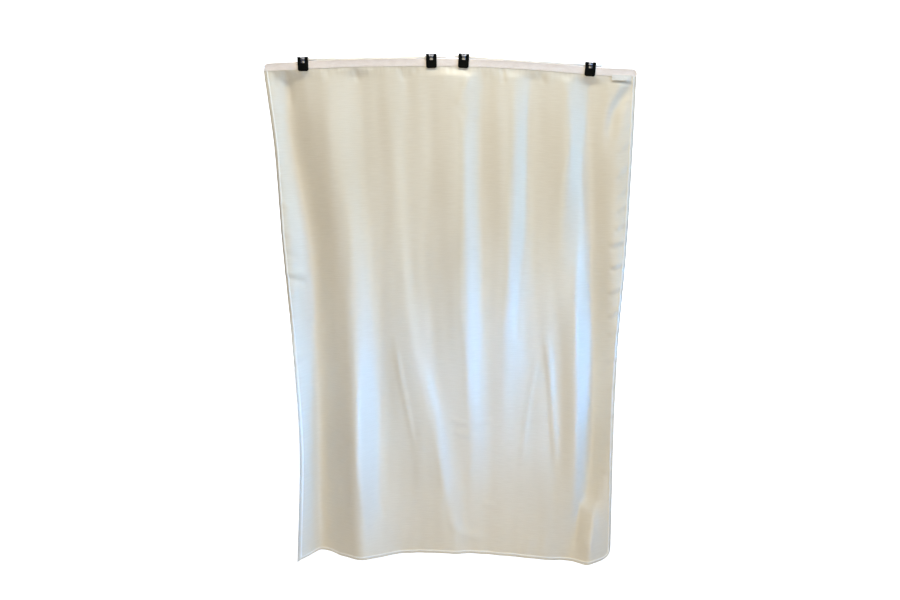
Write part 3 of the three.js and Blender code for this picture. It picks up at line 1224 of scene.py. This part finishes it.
@dataclass(frozen=True)
class FlagPanel:
    """The satin panel with its turned hems and their stitching.

    Attributes:
        drape: how the cloth hangs.
        half: half the cloth's thickness.
        hem_half: half the hem's thickness, reached within hem_step.
        edge_half: half the thickness at the very edge, rounded within edge_round.
        bead: how far the hem's stitched line stands proud, spread over bead_spread.
        stitch_inset: from the edge to that line.
        tuck: how far the panel reaches up into the heading.
        thread_proud: how far a stitch's middle stands off the hem, as a share of its thread.
        hem_zone: the strip along each edge that has the finest grid.
        left_margin: the strip beside the left edge that has a finer grid than the middle.
        right_margin: the same of the puckered right edge.
        gathered: the drop below the seam that has a finer grid.
        column_steps: the grid's largest steps across those strips, from left to right.
        row_steps: its largest steps down, from the tuck to the hem.
        stitch_step: between the points of a stitch line down a side.
        hem_points: of the stitch line along the bottom.
        stitching: the hem's stitches.
    """

    drape: Drape
    half: float = 0.5
    hem_half: float = 0.8
    hem_step: float = 1.5
    edge_half: float = 0.35
    edge_round: float = 0.9
    bead: float = 1.5
    bead_spread: float = 1.7
    stitch_inset: float = 7.4
    thread_proud: float = 0.25
    tuck: float = 6.0
    hem_zone: float = 12.0
    left_margin: float = 60.0
    right_margin: float = 84.0
    gathered: float = 64.0
    column_steps: Table = (1.0, 4.0, 5.2, 4.0, 1.0)
    row_steps: Table = (3.0, 3.6, 5.9, 1.1)
    stitch_step: float = 2.0
    hem_points: int = 420
    stitching: Stitching = Stitching(thread=1.1)

    def columns(self) -> Grid:
        """Shares across the panel, closer at the hems and the puckered right margin."""
        width, zone = self.drape.width, self.hem_zone
        stops = (0.0, zone, self.left_margin, width - self.right_margin, width - zone, width)
        return spaced(stops, self.column_steps) / width

    def rows(self) -> Grid:
        """Drops below the seam, closer under the heading and at the hem."""
        drop = self.drape.drop
        return spaced((-self.tuck, 0.0, self.gathered, drop - self.hem_zone, drop), self.row_steps)

    def half_thickness(self, across: Grid, drop: Grid) -> Grid:
        """Half the sheet's thickness.

        Args:
            across: share of the way from the left edge to the right one.
            drop: how far below the seam.

        Returns:
            The thickness there, with the hem's step, its sewn bead and its rounded edge.
        """
        inset = np.minimum(np.minimum(across, 1 - across) * self.drape.width, self.drape.drop - drop)
        hem = ease((self.drape.hem_width - inset) / self.hem_step)
        half = lerp(self.half, self.hem_half, hem)
        half = half + self.bead * bell((inset - self.stitch_inset) / self.bead_spread)
        return lerp(self.edge_half, half, np.sqrt(np.clip(inset / self.edge_round, 0, 1)))

    def stitch_line(self, across: Grid, drop: Grid, side: Side) -> Grid:
        """A line of points on one face of the hem, just proud of it."""
        off = self.half_thickness(across, drop) + self.stitching.thread * self.thread_proud
        out = -side.value * self.drape.normals(across, drop)
        return self.drape.points(across, drop) + off[:, None] * out

    def stitch_lines(self) -> list[Grid]:
        """The hem's stitch lines, down both sides and along the bottom, on both faces."""
        inset = self.stitch_inset / self.drape.width
        end = self.drape.drop - self.stitch_inset
        down = np.arange(self.stitching.pitch, end - self.drape.corner / 2, self.stitch_step)
        along = np.linspace(inset, 1 - self.drape.corner / self.drape.width, self.hem_points)
        routes = (
            (np.full_like(down, inset), down),
            (np.full_like(down, 1 - inset), down),
            (along, np.full_like(along, end)),
        )
        return [self.stitch_line(across, drop, side) for side in Side for across, drop in routes]

    def build(self, satin: bpy.types.Material, thread: bpy.types.Material) -> bpy.types.Object:
        """Makes the panel and its hem stitches.

        Args:
            satin: the panel's finish.
            thread: the stitches' finish.

        Returns:
            The panel.
        """
        across, drop = np.meshgrid(self.columns(), self.rows())
        middle, normal = self.drape.points(across, drop), self.drape.normals(across, drop)
        off = self.half_thickness(across, drop)[..., None] * normal
        flat = np.stack([across * self.drape.width, drop], axis=-1)
        panel = closed_sheet("satin_panel", middle + off, middle - off, flat)
        dress(panel, satin, "satin", "flag_panel")
        stitches = self.stitching.sew("hem_stitches", self.stitch_lines(), thread)
        dress(stitches, thread, "satin")
        self.drape.width * MM
        self.drape.drop * MM
        return panel


@dataclass(frozen=True)
class Heading:
    """The sleeve over the panel's top edge: one strip folded over, with rounded ends.

    Attributes:
        drape: how the panel below hangs.
        clip_places: x of the clips that hold the sleeve.
        section_down: shares of the height at which the thickness is given.
        section_half: half the sleeve's thickness there.
        fold_share: the share of the height that the top fold rounds.
        cloth: the strip's own thickness.
        end_round: radius of the sleeve's upper corners.
        pinch: the share of the thickness that a clip takes away, within pinch_spread.
        pucker: height of the seam's lumps, about the share pucker_down of the height.
        lumps: how many waves make up the lumps.
        lump_lengths: the shortest and the longest of those waves.
        lean: how far the top leans to the front between the clips.
        lean_clear: how far from a clip that lean begins.
        lean_power: how steeply that lean grows towards the top.
        seam_inset: from the lower edge to the seam's stitches.
        thread_proud: how far a stitch's middle stands off the sleeve, as a share of its thread.
        end_zone: the strip at each end that has the finest grid.
        column_steps: the grid's largest steps across the ends and between them.
        fold_rows: of the grid over half the top fold.
        face_rows: of the grid down each face.
        seam_points: of the seam's stitch line.
    """

    drape: Drape
    clip_places: Table
    section_down: Table = (0.0, 0.1, 0.3, 0.55, 0.8, 1.0)
    section_half: Table = (1.2, 1.5, 1.9, 2.0, 1.75, 1.5)
    fold_share: float = 0.07
    cloth: float = 0.55
    end_round: float = 11.0
    pinch: float = 0.14
    pinch_spread: float = 16.0
    pucker: float = 0.3
    pucker_down: float = 0.8
    pucker_spread: float = 0.22
    lumps: int = 5
    lump_lengths: Pair = (14.0, 60.0)
    lean: float = 3.8
    lean_clear: float = 30.0
    lean_power: int = 3
    seam_inset: float = 2.6
    thread_proud: float = 1 / 6
    end_zone: float = 12.0
    column_steps: Table = (1.2, 4.0, 1.2)
    fold_rows: int = 6
    face_rows: int = 12
    seam_points: int = 460
    seed: int = 7
    stitching: Stitching = Stitching(seed=9)

    def downs(self) -> Grid:
        """Shares of the height from the front's lower edge over the fold to the back's lower edge."""
        fold = (np.cos(np.linspace(0, math.pi / 2, self.fold_rows)) ** 2 * self.fold_share)[1:]
        face = np.linspace(1.0, self.fold_share, self.face_rows)
        front = np.concatenate([face, fold])
        return np.concatenate([front, front[-2::-1]])

    def half(self, x: Grid, down: Grid) -> Grid:
        """Half the sleeve's outer thickness.

        Args:
            x: the places' x.
            down: share of the height below the top fold.

        Returns:
            The thickness there, less at the clips and uneven along the seam.
        """
        fold = np.clip(down / self.fold_share, 0, 1)
        round_fold = np.sqrt(np.clip(1 - (1 - fold) ** 2, 0, 1))
        pinched = sum(bell((x - clip) / self.pinch_spread) for clip in self.clip_places)
        draw = np.random.default_rng(self.seed)
        uneven = sum(
            np.sin(2 * math.pi * (x / draw.uniform(*self.lump_lengths) + draw.uniform()))
            for _ in range(self.lumps)
        )
        seam = bell((down - self.pucker_down) / self.pucker_spread) * (1 - np.clip(pinched, 0, 1))
        section = through(self.section_down, self.section_half, down) * (1 - self.pinch * pinched)
        return section * round_fold + self.pucker * uneven / self.lumps * seam

    def points(self, x: Grid, down: Grid, side: Grid) -> Grid:
        """Points of the sleeve's outer face on the side that each place is given."""
        left, right = self.drape.arch_x[0], self.drape.arch_x[-1]
        lowered = rounding(np.minimum(x - left, right - x), self.end_round)
        z = self.drape.heading_top(x) - lerp(lowered, self.drape.heading_height, down)
        held = sum(bell((x - clip) / self.lean_clear) for clip in self.clip_places)
        lean = self.lean * (1 - np.clip(held, 0, 1)) * np.clip(1 - down, 0, 1) ** self.lean_power
        return np.stack([x, side * self.half(x, down) - lean, z], axis=-1)

    def seam_line(self, side: Side) -> Grid:
        """The seam's stitch line on one face."""
        left, right = self.drape.arch_x[0], self.drape.arch_x[-1]
        x = np.linspace(left + self.seam_inset, right - self.seam_inset, self.seam_points)
        down = np.full_like(x, 1 - self.seam_inset / self.drape.heading_height)
        line = self.points(x, down, np.full_like(x, side.value))
        line[:, 1] += side.value * self.stitching.thread * self.thread_proud
        return line

    def build(self, weave: bpy.types.Material, thread: bpy.types.Material) -> bpy.types.Object:
        """Makes the sleeve and its seam stitches.

        Args:
            weave: the sleeve's finish.
            thread: the stitches' finish.

        Returns:
            The sleeve.
        """
        left, right = self.drape.arch_x[0], self.drape.arch_x[-1]
        stops = (left, left + self.end_zone, right - self.end_zone, right)
        along = spaced(stops, self.column_steps)
        downs = self.downs()
        sides = np.where(np.arange(len(downs)) <= len(downs) // 2, Side.FRONT.value, Side.BACK.value)
        x, down = np.meshgrid(along, downs)
        outer = self.points(x, down, np.broadcast_to(sides[:, None], x.shape))[::-1]
        over = np.gradient(outer, axis=0)
        inward = np.stack([np.zeros_like(x), -over[..., 2], over[..., 1]], axis=-1)
        inward /= np.linalg.norm(inward, axis=-1, keepdims=True)
        path = np.cumsum(np.linalg.norm(np.diff(outer, axis=0, prepend=outer[:1]), axis=-1), axis=0)
        flat = np.stack([x, path], axis=-1)
        sleeve = closed_sheet("heading_sleeve", outer, outer + inward * self.cloth, flat)
        dress(sleeve, weave, "sleeve_cloth", "heading")
        stitches = self.stitching.sew("seam_stitches", [self.seam_line(side) for side in Side], thread)
        dress(stitches, thread, "sleeve_cloth")
        return sleeve


@dataclass(frozen=True)
class Label:
    """A short bare tape caught in the seam, its lower edge lifted and bowed.

    Attributes:
        drape: how the panel behind it hangs.
        left: x of its left end.
        right: x of its right end.
        height: of the tape.
        above: how much of it lies above the seam.
        thick: the tape's thickness.
        clear: its distance from the panel at the seam.
        stand: how much further off it stands below.
        stand_within: the share of its height over which it comes to stand so.
        end_lift: how far its lower corners lift.
        bow: how much further its lower edge lifts between them.
        edge_curl: how far its ends curl up, within curl_spread.
        grid: how many points its mesh has along and down.
    """

    drape: Drape
    left: float = 398.0
    right: float = 446.0
    height: float = 13.5
    above: float = 3.0
    thick: float = 0.7
    clear: float = 2.3
    stand: float = 1.2
    stand_within: float = 0.5
    end_lift: float = 1.0
    bow: float = 1.8
    edge_curl: float = 0.5
    curl_spread: float = 2.5
    grid: tuple[int, int] = (50, 16)

    def face(self, along: Grid, down: Grid, layer: float) -> Grid:
        """Points of the label on one of its faces.

        Args:
            along: share of its width.
            down: share of its height.
            layer: how far that face lies in front of the label's back.

        Returns:
            The points.
        """
        across = (lerp(self.left, self.right, along) - self.drape.left[0]) / self.drape.width
        points = self.drape.points(across, down * self.height - self.above)
        lift = down * (self.end_lift + self.bow * np.sin(math.pi * along))
        edge = np.minimum(along, 1 - along) * (self.right - self.left)
        lift = lift + self.edge_curl * down * bell(edge / self.curl_spread)
        points[..., 1] -= self.clear + self.stand * ease(down / self.stand_within) + lift + layer
        return points

    def build(self, tape: bpy.types.Material) -> bpy.types.Object:
        """Makes the label.

        Args:
            tape: its finish.

        Returns:
            The label.
        """
        along, down = np.meshgrid(*(np.linspace(0, 1, count) for count in self.grid))
        width = self.right - self.left
        flat = np.stack([along * width, down * self.height], axis=-1)
        front, back = self.face(along, down, self.thick), self.face(along, down, 0.0)
        label = dress(closed_sheet("bare_label", front, back, flat), tape, "label_tape", "label")
        return label


# Hard pieces


@dataclass(frozen=True)
class HangerBar:
    """A round chrome bar with softly rounded ends."""

    name: str
    start: Pair
    end: Pair
    radius: float = 3.6
    edge: float = 0.8
    sides: int = 48
    edge_steps: int = 5

    @property
    def slope(self) -> float:
        """The bar's tilt from level."""
        return math.atan2(self.end[1] - self.start[1], self.end[0] - self.start[0])

    def at(self, x: float) -> Matrix:
        """The place and tilt of the bar's axis at some x."""
        z = self.start[1] + (x - self.start[0]) * math.tan(self.slope)
        return Matrix.Translation((x, 0.0, z)) @ Matrix.Rotation(-self.slope, 4, "Y")

    def build(self, chrome: bpy.types.Material) -> bpy.types.Object:
        """Makes the bar.

        Args:
            chrome: its finish.

        Returns:
            The bar.
        """
        length = math.hypot(self.end[0] - self.start[0], self.end[1] - self.start[1])
        turn = np.linspace(0, math.pi / 2, self.edge_steps)
        step_in = self.edge * (1 - np.cos(turn))
        rim = self.radius - self.edge * (1 - np.sin(turn))
        along = np.concatenate([step_in, length - step_in[::-1]])[:, None]
        radius = np.concatenate([rim, rim[::-1]])[:, None]
        angle = np.linspace(0, 2 * math.pi, self.sides, endpoint=False)
        rings = np.stack(
            np.broadcast_arrays(along, radius * np.cos(angle), radius * np.sin(angle)), axis=-1
        )
        number = np.arange(len(along) * self.sides).reshape(-1, self.sides)
        beside = np.roll(number, -1, axis=1)
        walls = np.stack([number[:-1], number[1:], beside[1:], beside[:-1]], axis=-1)
        faces = [*walls.reshape(-1, 4).tolist(), number[0].tolist(), number[-1][::-1].tolist()]
        placed = np.array(self.at(self.start[0]))
        points = rings.reshape(-1, 3) @ placed[:3, :3].T + placed[:3, 3]
        return dress(plain_mesh(f"{self.name}_tube", points, faces), chrome, "bar_chrome", self.name)


@dataclass(frozen=True)
class PinchClip:
    """A pinch clip: two moulded jaws over the bar, drawn together by a bent steel strap.

    Attributes:
        name: the clip's name in the frame.
        bar: the bar that it rides on.
        x: its place along the flag.
        width: of a jaw.
        above: how far a jaw reaches over the bar's axis.
        below: how far it reaches under it.
        thick: a jaw's thickness.
        corner: radius of a jaw's lower corners.
        top_corner: radius of its upper ones.
        notch_width: of the notch at the top that the strap passes, notch_depth deep.
        weld: how near to each other points become one.
        bevel: width of the broken edges, put where faces meet at more than bevel_angle.
        gap_at_bar: from the bar's axis to a jaw's inner face.
        lean: how far each jaw leans in to the cloth.
        lip_down: from the bar's axis to the raised lip, which is shorter than the jaw by lip_short.
        grip_rows: how many ridges each of the jaw's two posts has.
        grip_top: from the jaw's top to the first ridge's foot, and what a ridge is shorter than its post.
        root: how deep a raised part goes into its jaw.
        strap_centre: height of the strap's bend from the bar's axis.
        strap_leg: how far the strap's legs reach below that.
        strap_gap: between the strap and a jaw.
    """

    name: str
    bar: HangerBar
    x: float
    width: float = 26.0
    above: float = 7.0
    below: float = 27.0
    thick: float = 3.0
    corner: float = 5.0
    top_corner: float = 1.2
    notch_width: float = 10.4
    notch_depth: float = 8.0
    notch_corner: float = 3.2
    weld: float = 1e-4
    bevel: float = 0.6
    bevel_steps: int = 3
    bevel_angle: float = math.radians(40)
    sharp_angle: float = math.radians(35)
    gap_at_bar: float = 4.4
    lean: float = math.radians(6)
    lip_down: float = 21.5
    lip_height: float = 2.0
    lip_out: float = 0.7
    lip_short: float = 4.0
    grip_rows: int = 3
    grip_top: float = 2.4
    grip_height: float = 1.0
    grip_out: float = 0.5
    root: float = 1.0
    strap_width: float = 9.0
    strap_thick: float = 1.0
    strap_centre: float = -1.5
    strap_leg: float = 6.0
    strap_gap: float = 0.3
    arc_points: int = 7

    def arc(self, x: float, z: float, radius: float, start: float, end: float) -> Outline:
        """Points of an arc about a centre, between two angles in degrees."""
        turns = np.radians(np.linspace(start, end, self.arc_points))
        return [(x + radius * math.cos(t), z + radius * math.sin(t)) for t in turns]

    def plate(self) -> Outline:
        """A jaw's outline as seen from the front, with the strap's notch at the top."""
        half, notch, tip = self.width / 2, self.notch_width / 2, self.top_corner
        low, floor = self.corner - self.below, self.above - self.notch_depth
        bend = self.notch_corner
        return [
            *self.arc(tip - half, self.above - tip, tip, 90, 180),
            *self.arc(self.corner - half, low, self.corner, 180, 270),
            *self.arc(half - self.corner, low, self.corner, 270, 360),
            *self.arc(half - tip, self.above - tip, tip, 0, 90),
            *self.arc(notch + tip, self.above - tip, tip, 90, 180),
            *self.arc(notch - bend, floor + bend, bend, 0, -90),
            *self.arc(bend - notch, floor + bend, bend, 270, 180),
            *self.arc(-notch - tip, self.above - tip, tip, 0, 90),
        ]

    def block(self, width: float, low: float, high: float, centre: float = 0.0) -> Outline:
        """An upright rectangle's outline."""
        half = width / 2
        return [(centre - half, high), (centre - half, low), (centre + half, low), (centre + half, high)]

    def extruded(
        self, solids: Sequence[tuple[Outline, float, float]], place: Matrix, name: str
    ) -> bpy.types.Object:
        """Flat outlines given thickness along Y, with softly broken edges.

        Args:
            solids: each outline as (x, z) points, with the y of its outer and inner face.
            place: where they go in the flag's frame.
            name: the piece's name.

        Returns:
            The joined solids.
        """
        shape = bmesh.new()
        for outline, outer, inner in solids:
            corners = [shape.verts.new((x, outer, z)) for x, z in outline]
            face = shape.faces.new(corners)
            pushed = bmesh.ops.extrude_face_region(shape, geom=[face])["geom"]
            moved = [v for v in pushed if isinstance(v, bmesh.types.BMVert)]
            bmesh.ops.translate(shape, verts=moved, vec=(0.0, inner - outer, 0.0))
        bmesh.ops.remove_doubles(shape, verts=shape.verts, dist=self.weld)
        bmesh.ops.recalc_face_normals(shape, faces=shape.faces)
        bmesh.ops.transform(shape, matrix=Matrix.Scale(MM, 4) @ place, verts=shape.verts)
        mesh = bpy.data.meshes.new(name)
        shape.to_mesh(mesh)
        shape.free()
        made = bpy.data.objects.new(name, mesh)
        bpy.context.scene.collection.objects.link(made)
        bevel = made.modifiers.new("edges", "BEVEL")
        bevel.width = self.bevel * MM
        bevel.segments = self.bevel_steps
        bevel.limit_method = "ANGLE"
        bevel.angle_limit = self.bevel_angle
        settled(made)
        made.data.shade_smooth()
        made.data.set_sharp_from_angle(angle=self.sharp_angle)
        return made

    def jaw(self, side: Side, plastic: bpy.types.Material) -> bpy.types.Object:
        """Makes one jaw.

        Args:
            side: whether it is the front or the back one.
            plastic: its finish.

        Returns:
            The jaw.
        """
        turn = 0.0 if side is Side.FRONT else math.pi
        place = (
            self.bar.at(self.x)
            @ Matrix.Rotation(turn, 4, "Z")
            @ Matrix.Translation((0.0, -self.gap_at_bar, 0.0))
            @ Matrix.Rotation(self.lean, 4, "X")
        )
        post = (self.width - self.notch_width) / 2
        solids = [(self.plate(), -self.thick, 0.0)]
        lip = self.block(self.width - self.lip_short, -self.lip_down - self.lip_height, -self.lip_down)
        solids.append((lip, -self.thick - self.lip_out, self.root - self.thick))
        for row in range(self.grip_rows):
            low = self.above - self.grip_top - row * 2 * self.grip_height
            for end in (-1, 1):
                middle = end * (self.width - post) / 2
                ridge = self.block(post - self.grip_top, low, low + self.grip_height, middle)
                solids.append((ridge, -self.thick - self.grip_out, self.root - self.thick))
        node = f"{self.name}_{side.name.lower()}_jaw"
        return dress(self.extruded(solids, place, f"{node}_moulding"), plastic, "clip_plastic", node)

    def strap(self, steel: bpy.types.Material) -> bpy.types.Object:
        """Makes the steel strap over the bar.

        Args:
            steel: its finish.

        Returns:
            The strap.
        """
        to_jaw = self.gap_at_bar * math.cos(self.lean) + self.strap_centre * math.sin(self.lean)
        inner = to_jaw + self.thick + self.strap_gap
        outer = inner + self.strap_thick
        lean = math.degrees(self.lean)

        def leg_end(radius: float, way: int) -> Pair:
            """The end of a leg at a radius, on one side."""
            y = radius * math.cos(self.lean) - self.strap_leg * math.sin(self.lean)
            z = self.strap_centre - radius * math.sin(self.lean) - self.strap_leg * math.cos(self.lean)
            return way * y, z

        section = [
            leg_end(inner, 1),
            leg_end(outer, 1),
            *self.arc(0.0, self.strap_centre, outer, -lean, 90),
            *self.arc(0.0, self.strap_centre, outer, 90, 180 + lean)[1:],
            leg_end(outer, -1),
            leg_end(inner, -1),
            *self.arc(0.0, self.strap_centre, inner, 180 + lean, 90),
            *self.arc(0.0, self.strap_centre, inner, 90, -lean)[1:],
        ]
        half = self.strap_width / 2
        sideways = self.bar.at(self.x) @ Matrix.Rotation(math.pi / 2, 4, "Z")
        node = f"{self.name}_spring"
        made = self.extruded([(section, -half, half)], sideways, f"{node}_strap")
        return dress(made, steel, "spring_steel", node)

    def build(self, plastic: bpy.types.Material, steel: bpy.types.Material) -> None:
        """Makes the clip's two jaws and its strap.

        Args:
            plastic: the jaws' finish.
            steel: the strap's finish.
        """
        for side in Side:
            self.jaw(side, plastic)
        self.strap(steel)


BARS = (
    HangerBar("hanger_bar_left", (-372.0, -7.4), (-9.0, 1.0)),
    HangerBar("hanger_bar_right", (12.0, 1.7), (373.0, -21.5)),
)
CLIPS = (
    PinchClip("clip_1", BARS[0], -361.0),
    PinchClip("clip_2", BARS[0], -46.0),
    PinchClip("clip_3", BARS[1], 34.0),
    PinchClip("clip_4", BARS[1], 345.0),
)


# Studio


@dataclass(frozen=True)
class SoftLight:
    """A soft studio light, in metres.

    Attributes:
        name: the light's name.
        place: where it stands.
        aim: the point that it faces.
        size: its width and height.
        colour: its tint.
        power: in watts.
        spread: the full angle of its beam in degrees.
        lens: its outline.
    """

    name: str
    place: Triple
    aim: Triple
    size: Pair
    colour: Colour
    power: float
    spread: float = 180.0
    lens: Lens = Lens.WINDOW

    def build(self) -> bpy.types.Object:
        """Sets the light up."""
        light = bpy.data.lights.new(self.name, "AREA")
        light.shape = self.lens.value
        light.size, light.size_y = self.size
        light.color = self.colour
        light.energy = self.power
        light.spread = math.radians(self.spread)
        made = bpy.data.objects.new(self.name, light)
        made.location = self.place
        made.rotation_euler = (Vector(self.aim) - Vector(self.place)).to_track_quat("-Z", "Y").to_euler()
        made.visible_camera = False
        bpy.context.scene.collection.objects.link(made)
        return made


WARM_WHITE: Colour = (1.0, 0.83, 0.46)
AMBER: Colour = (1.0, 0.7, 0.3)
CREAM: Colour = (1.0, 0.88, 0.62)
PALE_BLUE: Colour = (0.4, 0.7, 1.0)
SKY_BLUE: Colour = (0.29, 0.65, 1.0)
BLUE: Colour = (0.13, 0.46, 1.0)

LIGHTS = (
    SoftLight(
        "warm_front", (0.0, -2.9, -0.7), (0.0, 0.0, -0.7), (1.6, 1.4), WARM_WHITE, 19.2, lens=Lens.SOFTBOX
    ),
    SoftLight("floor_bounce", (0.1, -1.3, -1.55), (0.0, 0.0, -1.15), (1.4, 0.5), AMBER, 2.6),
    SoftLight("overhead_strip", (0.0, -0.9, 1.5), (0.0, 0.0, -0.1), (1.8, 0.25), CREAM, 27.0),
    SoftLight("overhead_right", (0.9, -1.1, 1.5), (0.0, 0.0, -0.1), (1.2, 0.25), PALE_BLUE, 13.0),
    SoftLight("cool_window", (3.6, -1.8, 0.1), (0.0, 0.0, -0.4), (1.6, 1.8), BLUE, 32.0),
    SoftLight("cool_graze", (3.9, -1.0, -0.3), (0.0, 0.0, -0.36), (0.8, 0.5), SKY_BLUE, 0.4, 16.0),
    SoftLight("cool_beam", (3.6, -1.8, -0.72), (0.0, 0.0, -0.76), (1.6, 0.3), BLUE, 0.34, 12.0),
    SoftLight("low_beam", (3.0, -1.9, -1.1), (-0.42, 0.0, -0.92), (0.8, 0.6), BLUE, 0.34, 12.0),
    SoftLight("left_beam", (2.4, -2.6, -1.1), (-0.56, 0.0, -1.04), (0.4, 0.5), BLUE, 0.28, 8.0),
    SoftLight("right_beam", (3.6, -1.8, -0.75), (0.36, 0.0, -0.76), (0.4, 0.3), BLUE, 0.2, 8.0),
    SoftLight("cool_patch", (1.9, -3.0, -0.8), (0.15, 0.0, -0.8), (0.8, 0.5), BLUE, 0.27, 14.0),
)


@dataclass(frozen=True)
class Studio:
    """The pale floor and backdrop, the lights and the camera, in metres."""

    floor_height: float = -1.65
    floor_radius: float = 9.0
    wall_place: float = 4.2
    wall_width: float = 14.0
    wall_height: float = 7.0
    ambient: Colour = (0.192, 0.202, 0.24)
    camera_place: Triple = (0.0, -2.230, -0.289)
    pitch: float = math.radians(8.0)
    focal_pixels: float = 883.0
    image_width: float = 900.0
    sensor: float = 36.0

    def background(self) -> None:
        """Lays the floor and stands the backdrop, which sheds no light on the cloth's back."""
        r, z, back = self.floor_radius, self.floor_height, self.wall_place
        floor = np.array([(-r, -r, z), (r, -r, z), (r, back, z), (-r, back, z)])
        half, top = self.wall_width / 2, self.floor_height + self.wall_height
        wall = np.array([(-half, back, z), (half, back, z), (half, back, top), (-half, back, top)])
        for name, corners, lights in (("studio_floor", floor, True), ("studio_backdrop", wall, False)):
            made = plain_mesh(name, corners / MM, [(0, 1, 2, 3)])
            made.data.materials.append(BackgroundFinish(f"{name}_paper").material())
            made.visible_diffuse = lights

    def world(self) -> None:
        """Fills the room with a dim even light."""
        world = bpy.data.worlds.new("studio_room")
        world.use_nodes = True
        world.node_tree.nodes["Background"].inputs["Color"].default_value = (*self.ambient, 1.0)
        bpy.context.scene.world = world

    def camera(self) -> None:
        """Places the camera and its lens."""
        camera = bpy.data.cameras.new("photo_view")
        camera.sensor_width = self.sensor
        camera.lens = self.sensor * self.focal_pixels / self.image_width
        made = bpy.data.objects.new("photo_view", camera)
        made.location = self.camera_place
        made.rotation_euler = (math.pi / 2 - self.pitch, 0.0, 0.0)
        bpy.context.scene.collection.objects.link(made)
        bpy.context.scene.camera = made

    def build(self) -> None:
        """Sets up the whole studio."""
        self.background()
        self.world()
        for light in LIGHTS:
            light.build()
        self.camera()
        bpy.context.scene.view_settings.view_transform = "Standard"
        LOG.info("studio: %d lights", len(LIGHTS))


def main() -> None:
    """Builds the flag and its studio in order."""
    logging.basicConfig(level=logging.INFO, format="%(message)s")
    drape = Drape()
    thread = ThreadFinish().material()
    panel = FlagPanel(drape)
    panel.build(SatinFinish(drape.width, drape.drop, panel.stitch_inset).material(), thread)
    Heading(drape, tuple(clip.x for clip in CLIPS)).build(SleeveFinish().material(), thread)
    Label(drape).build(TapeFinish().material())
    chrome = BAR_CHROME.material()
    for bar in BARS:
        bar.build(chrome)
    plastic, steel = PlasticFinish().material(), SPRING_STEEL.material()
    for clip in CLIPS:
        clip.build(plastic, steel)
    Studio().build()


if __name__ == "__main__":
    main()
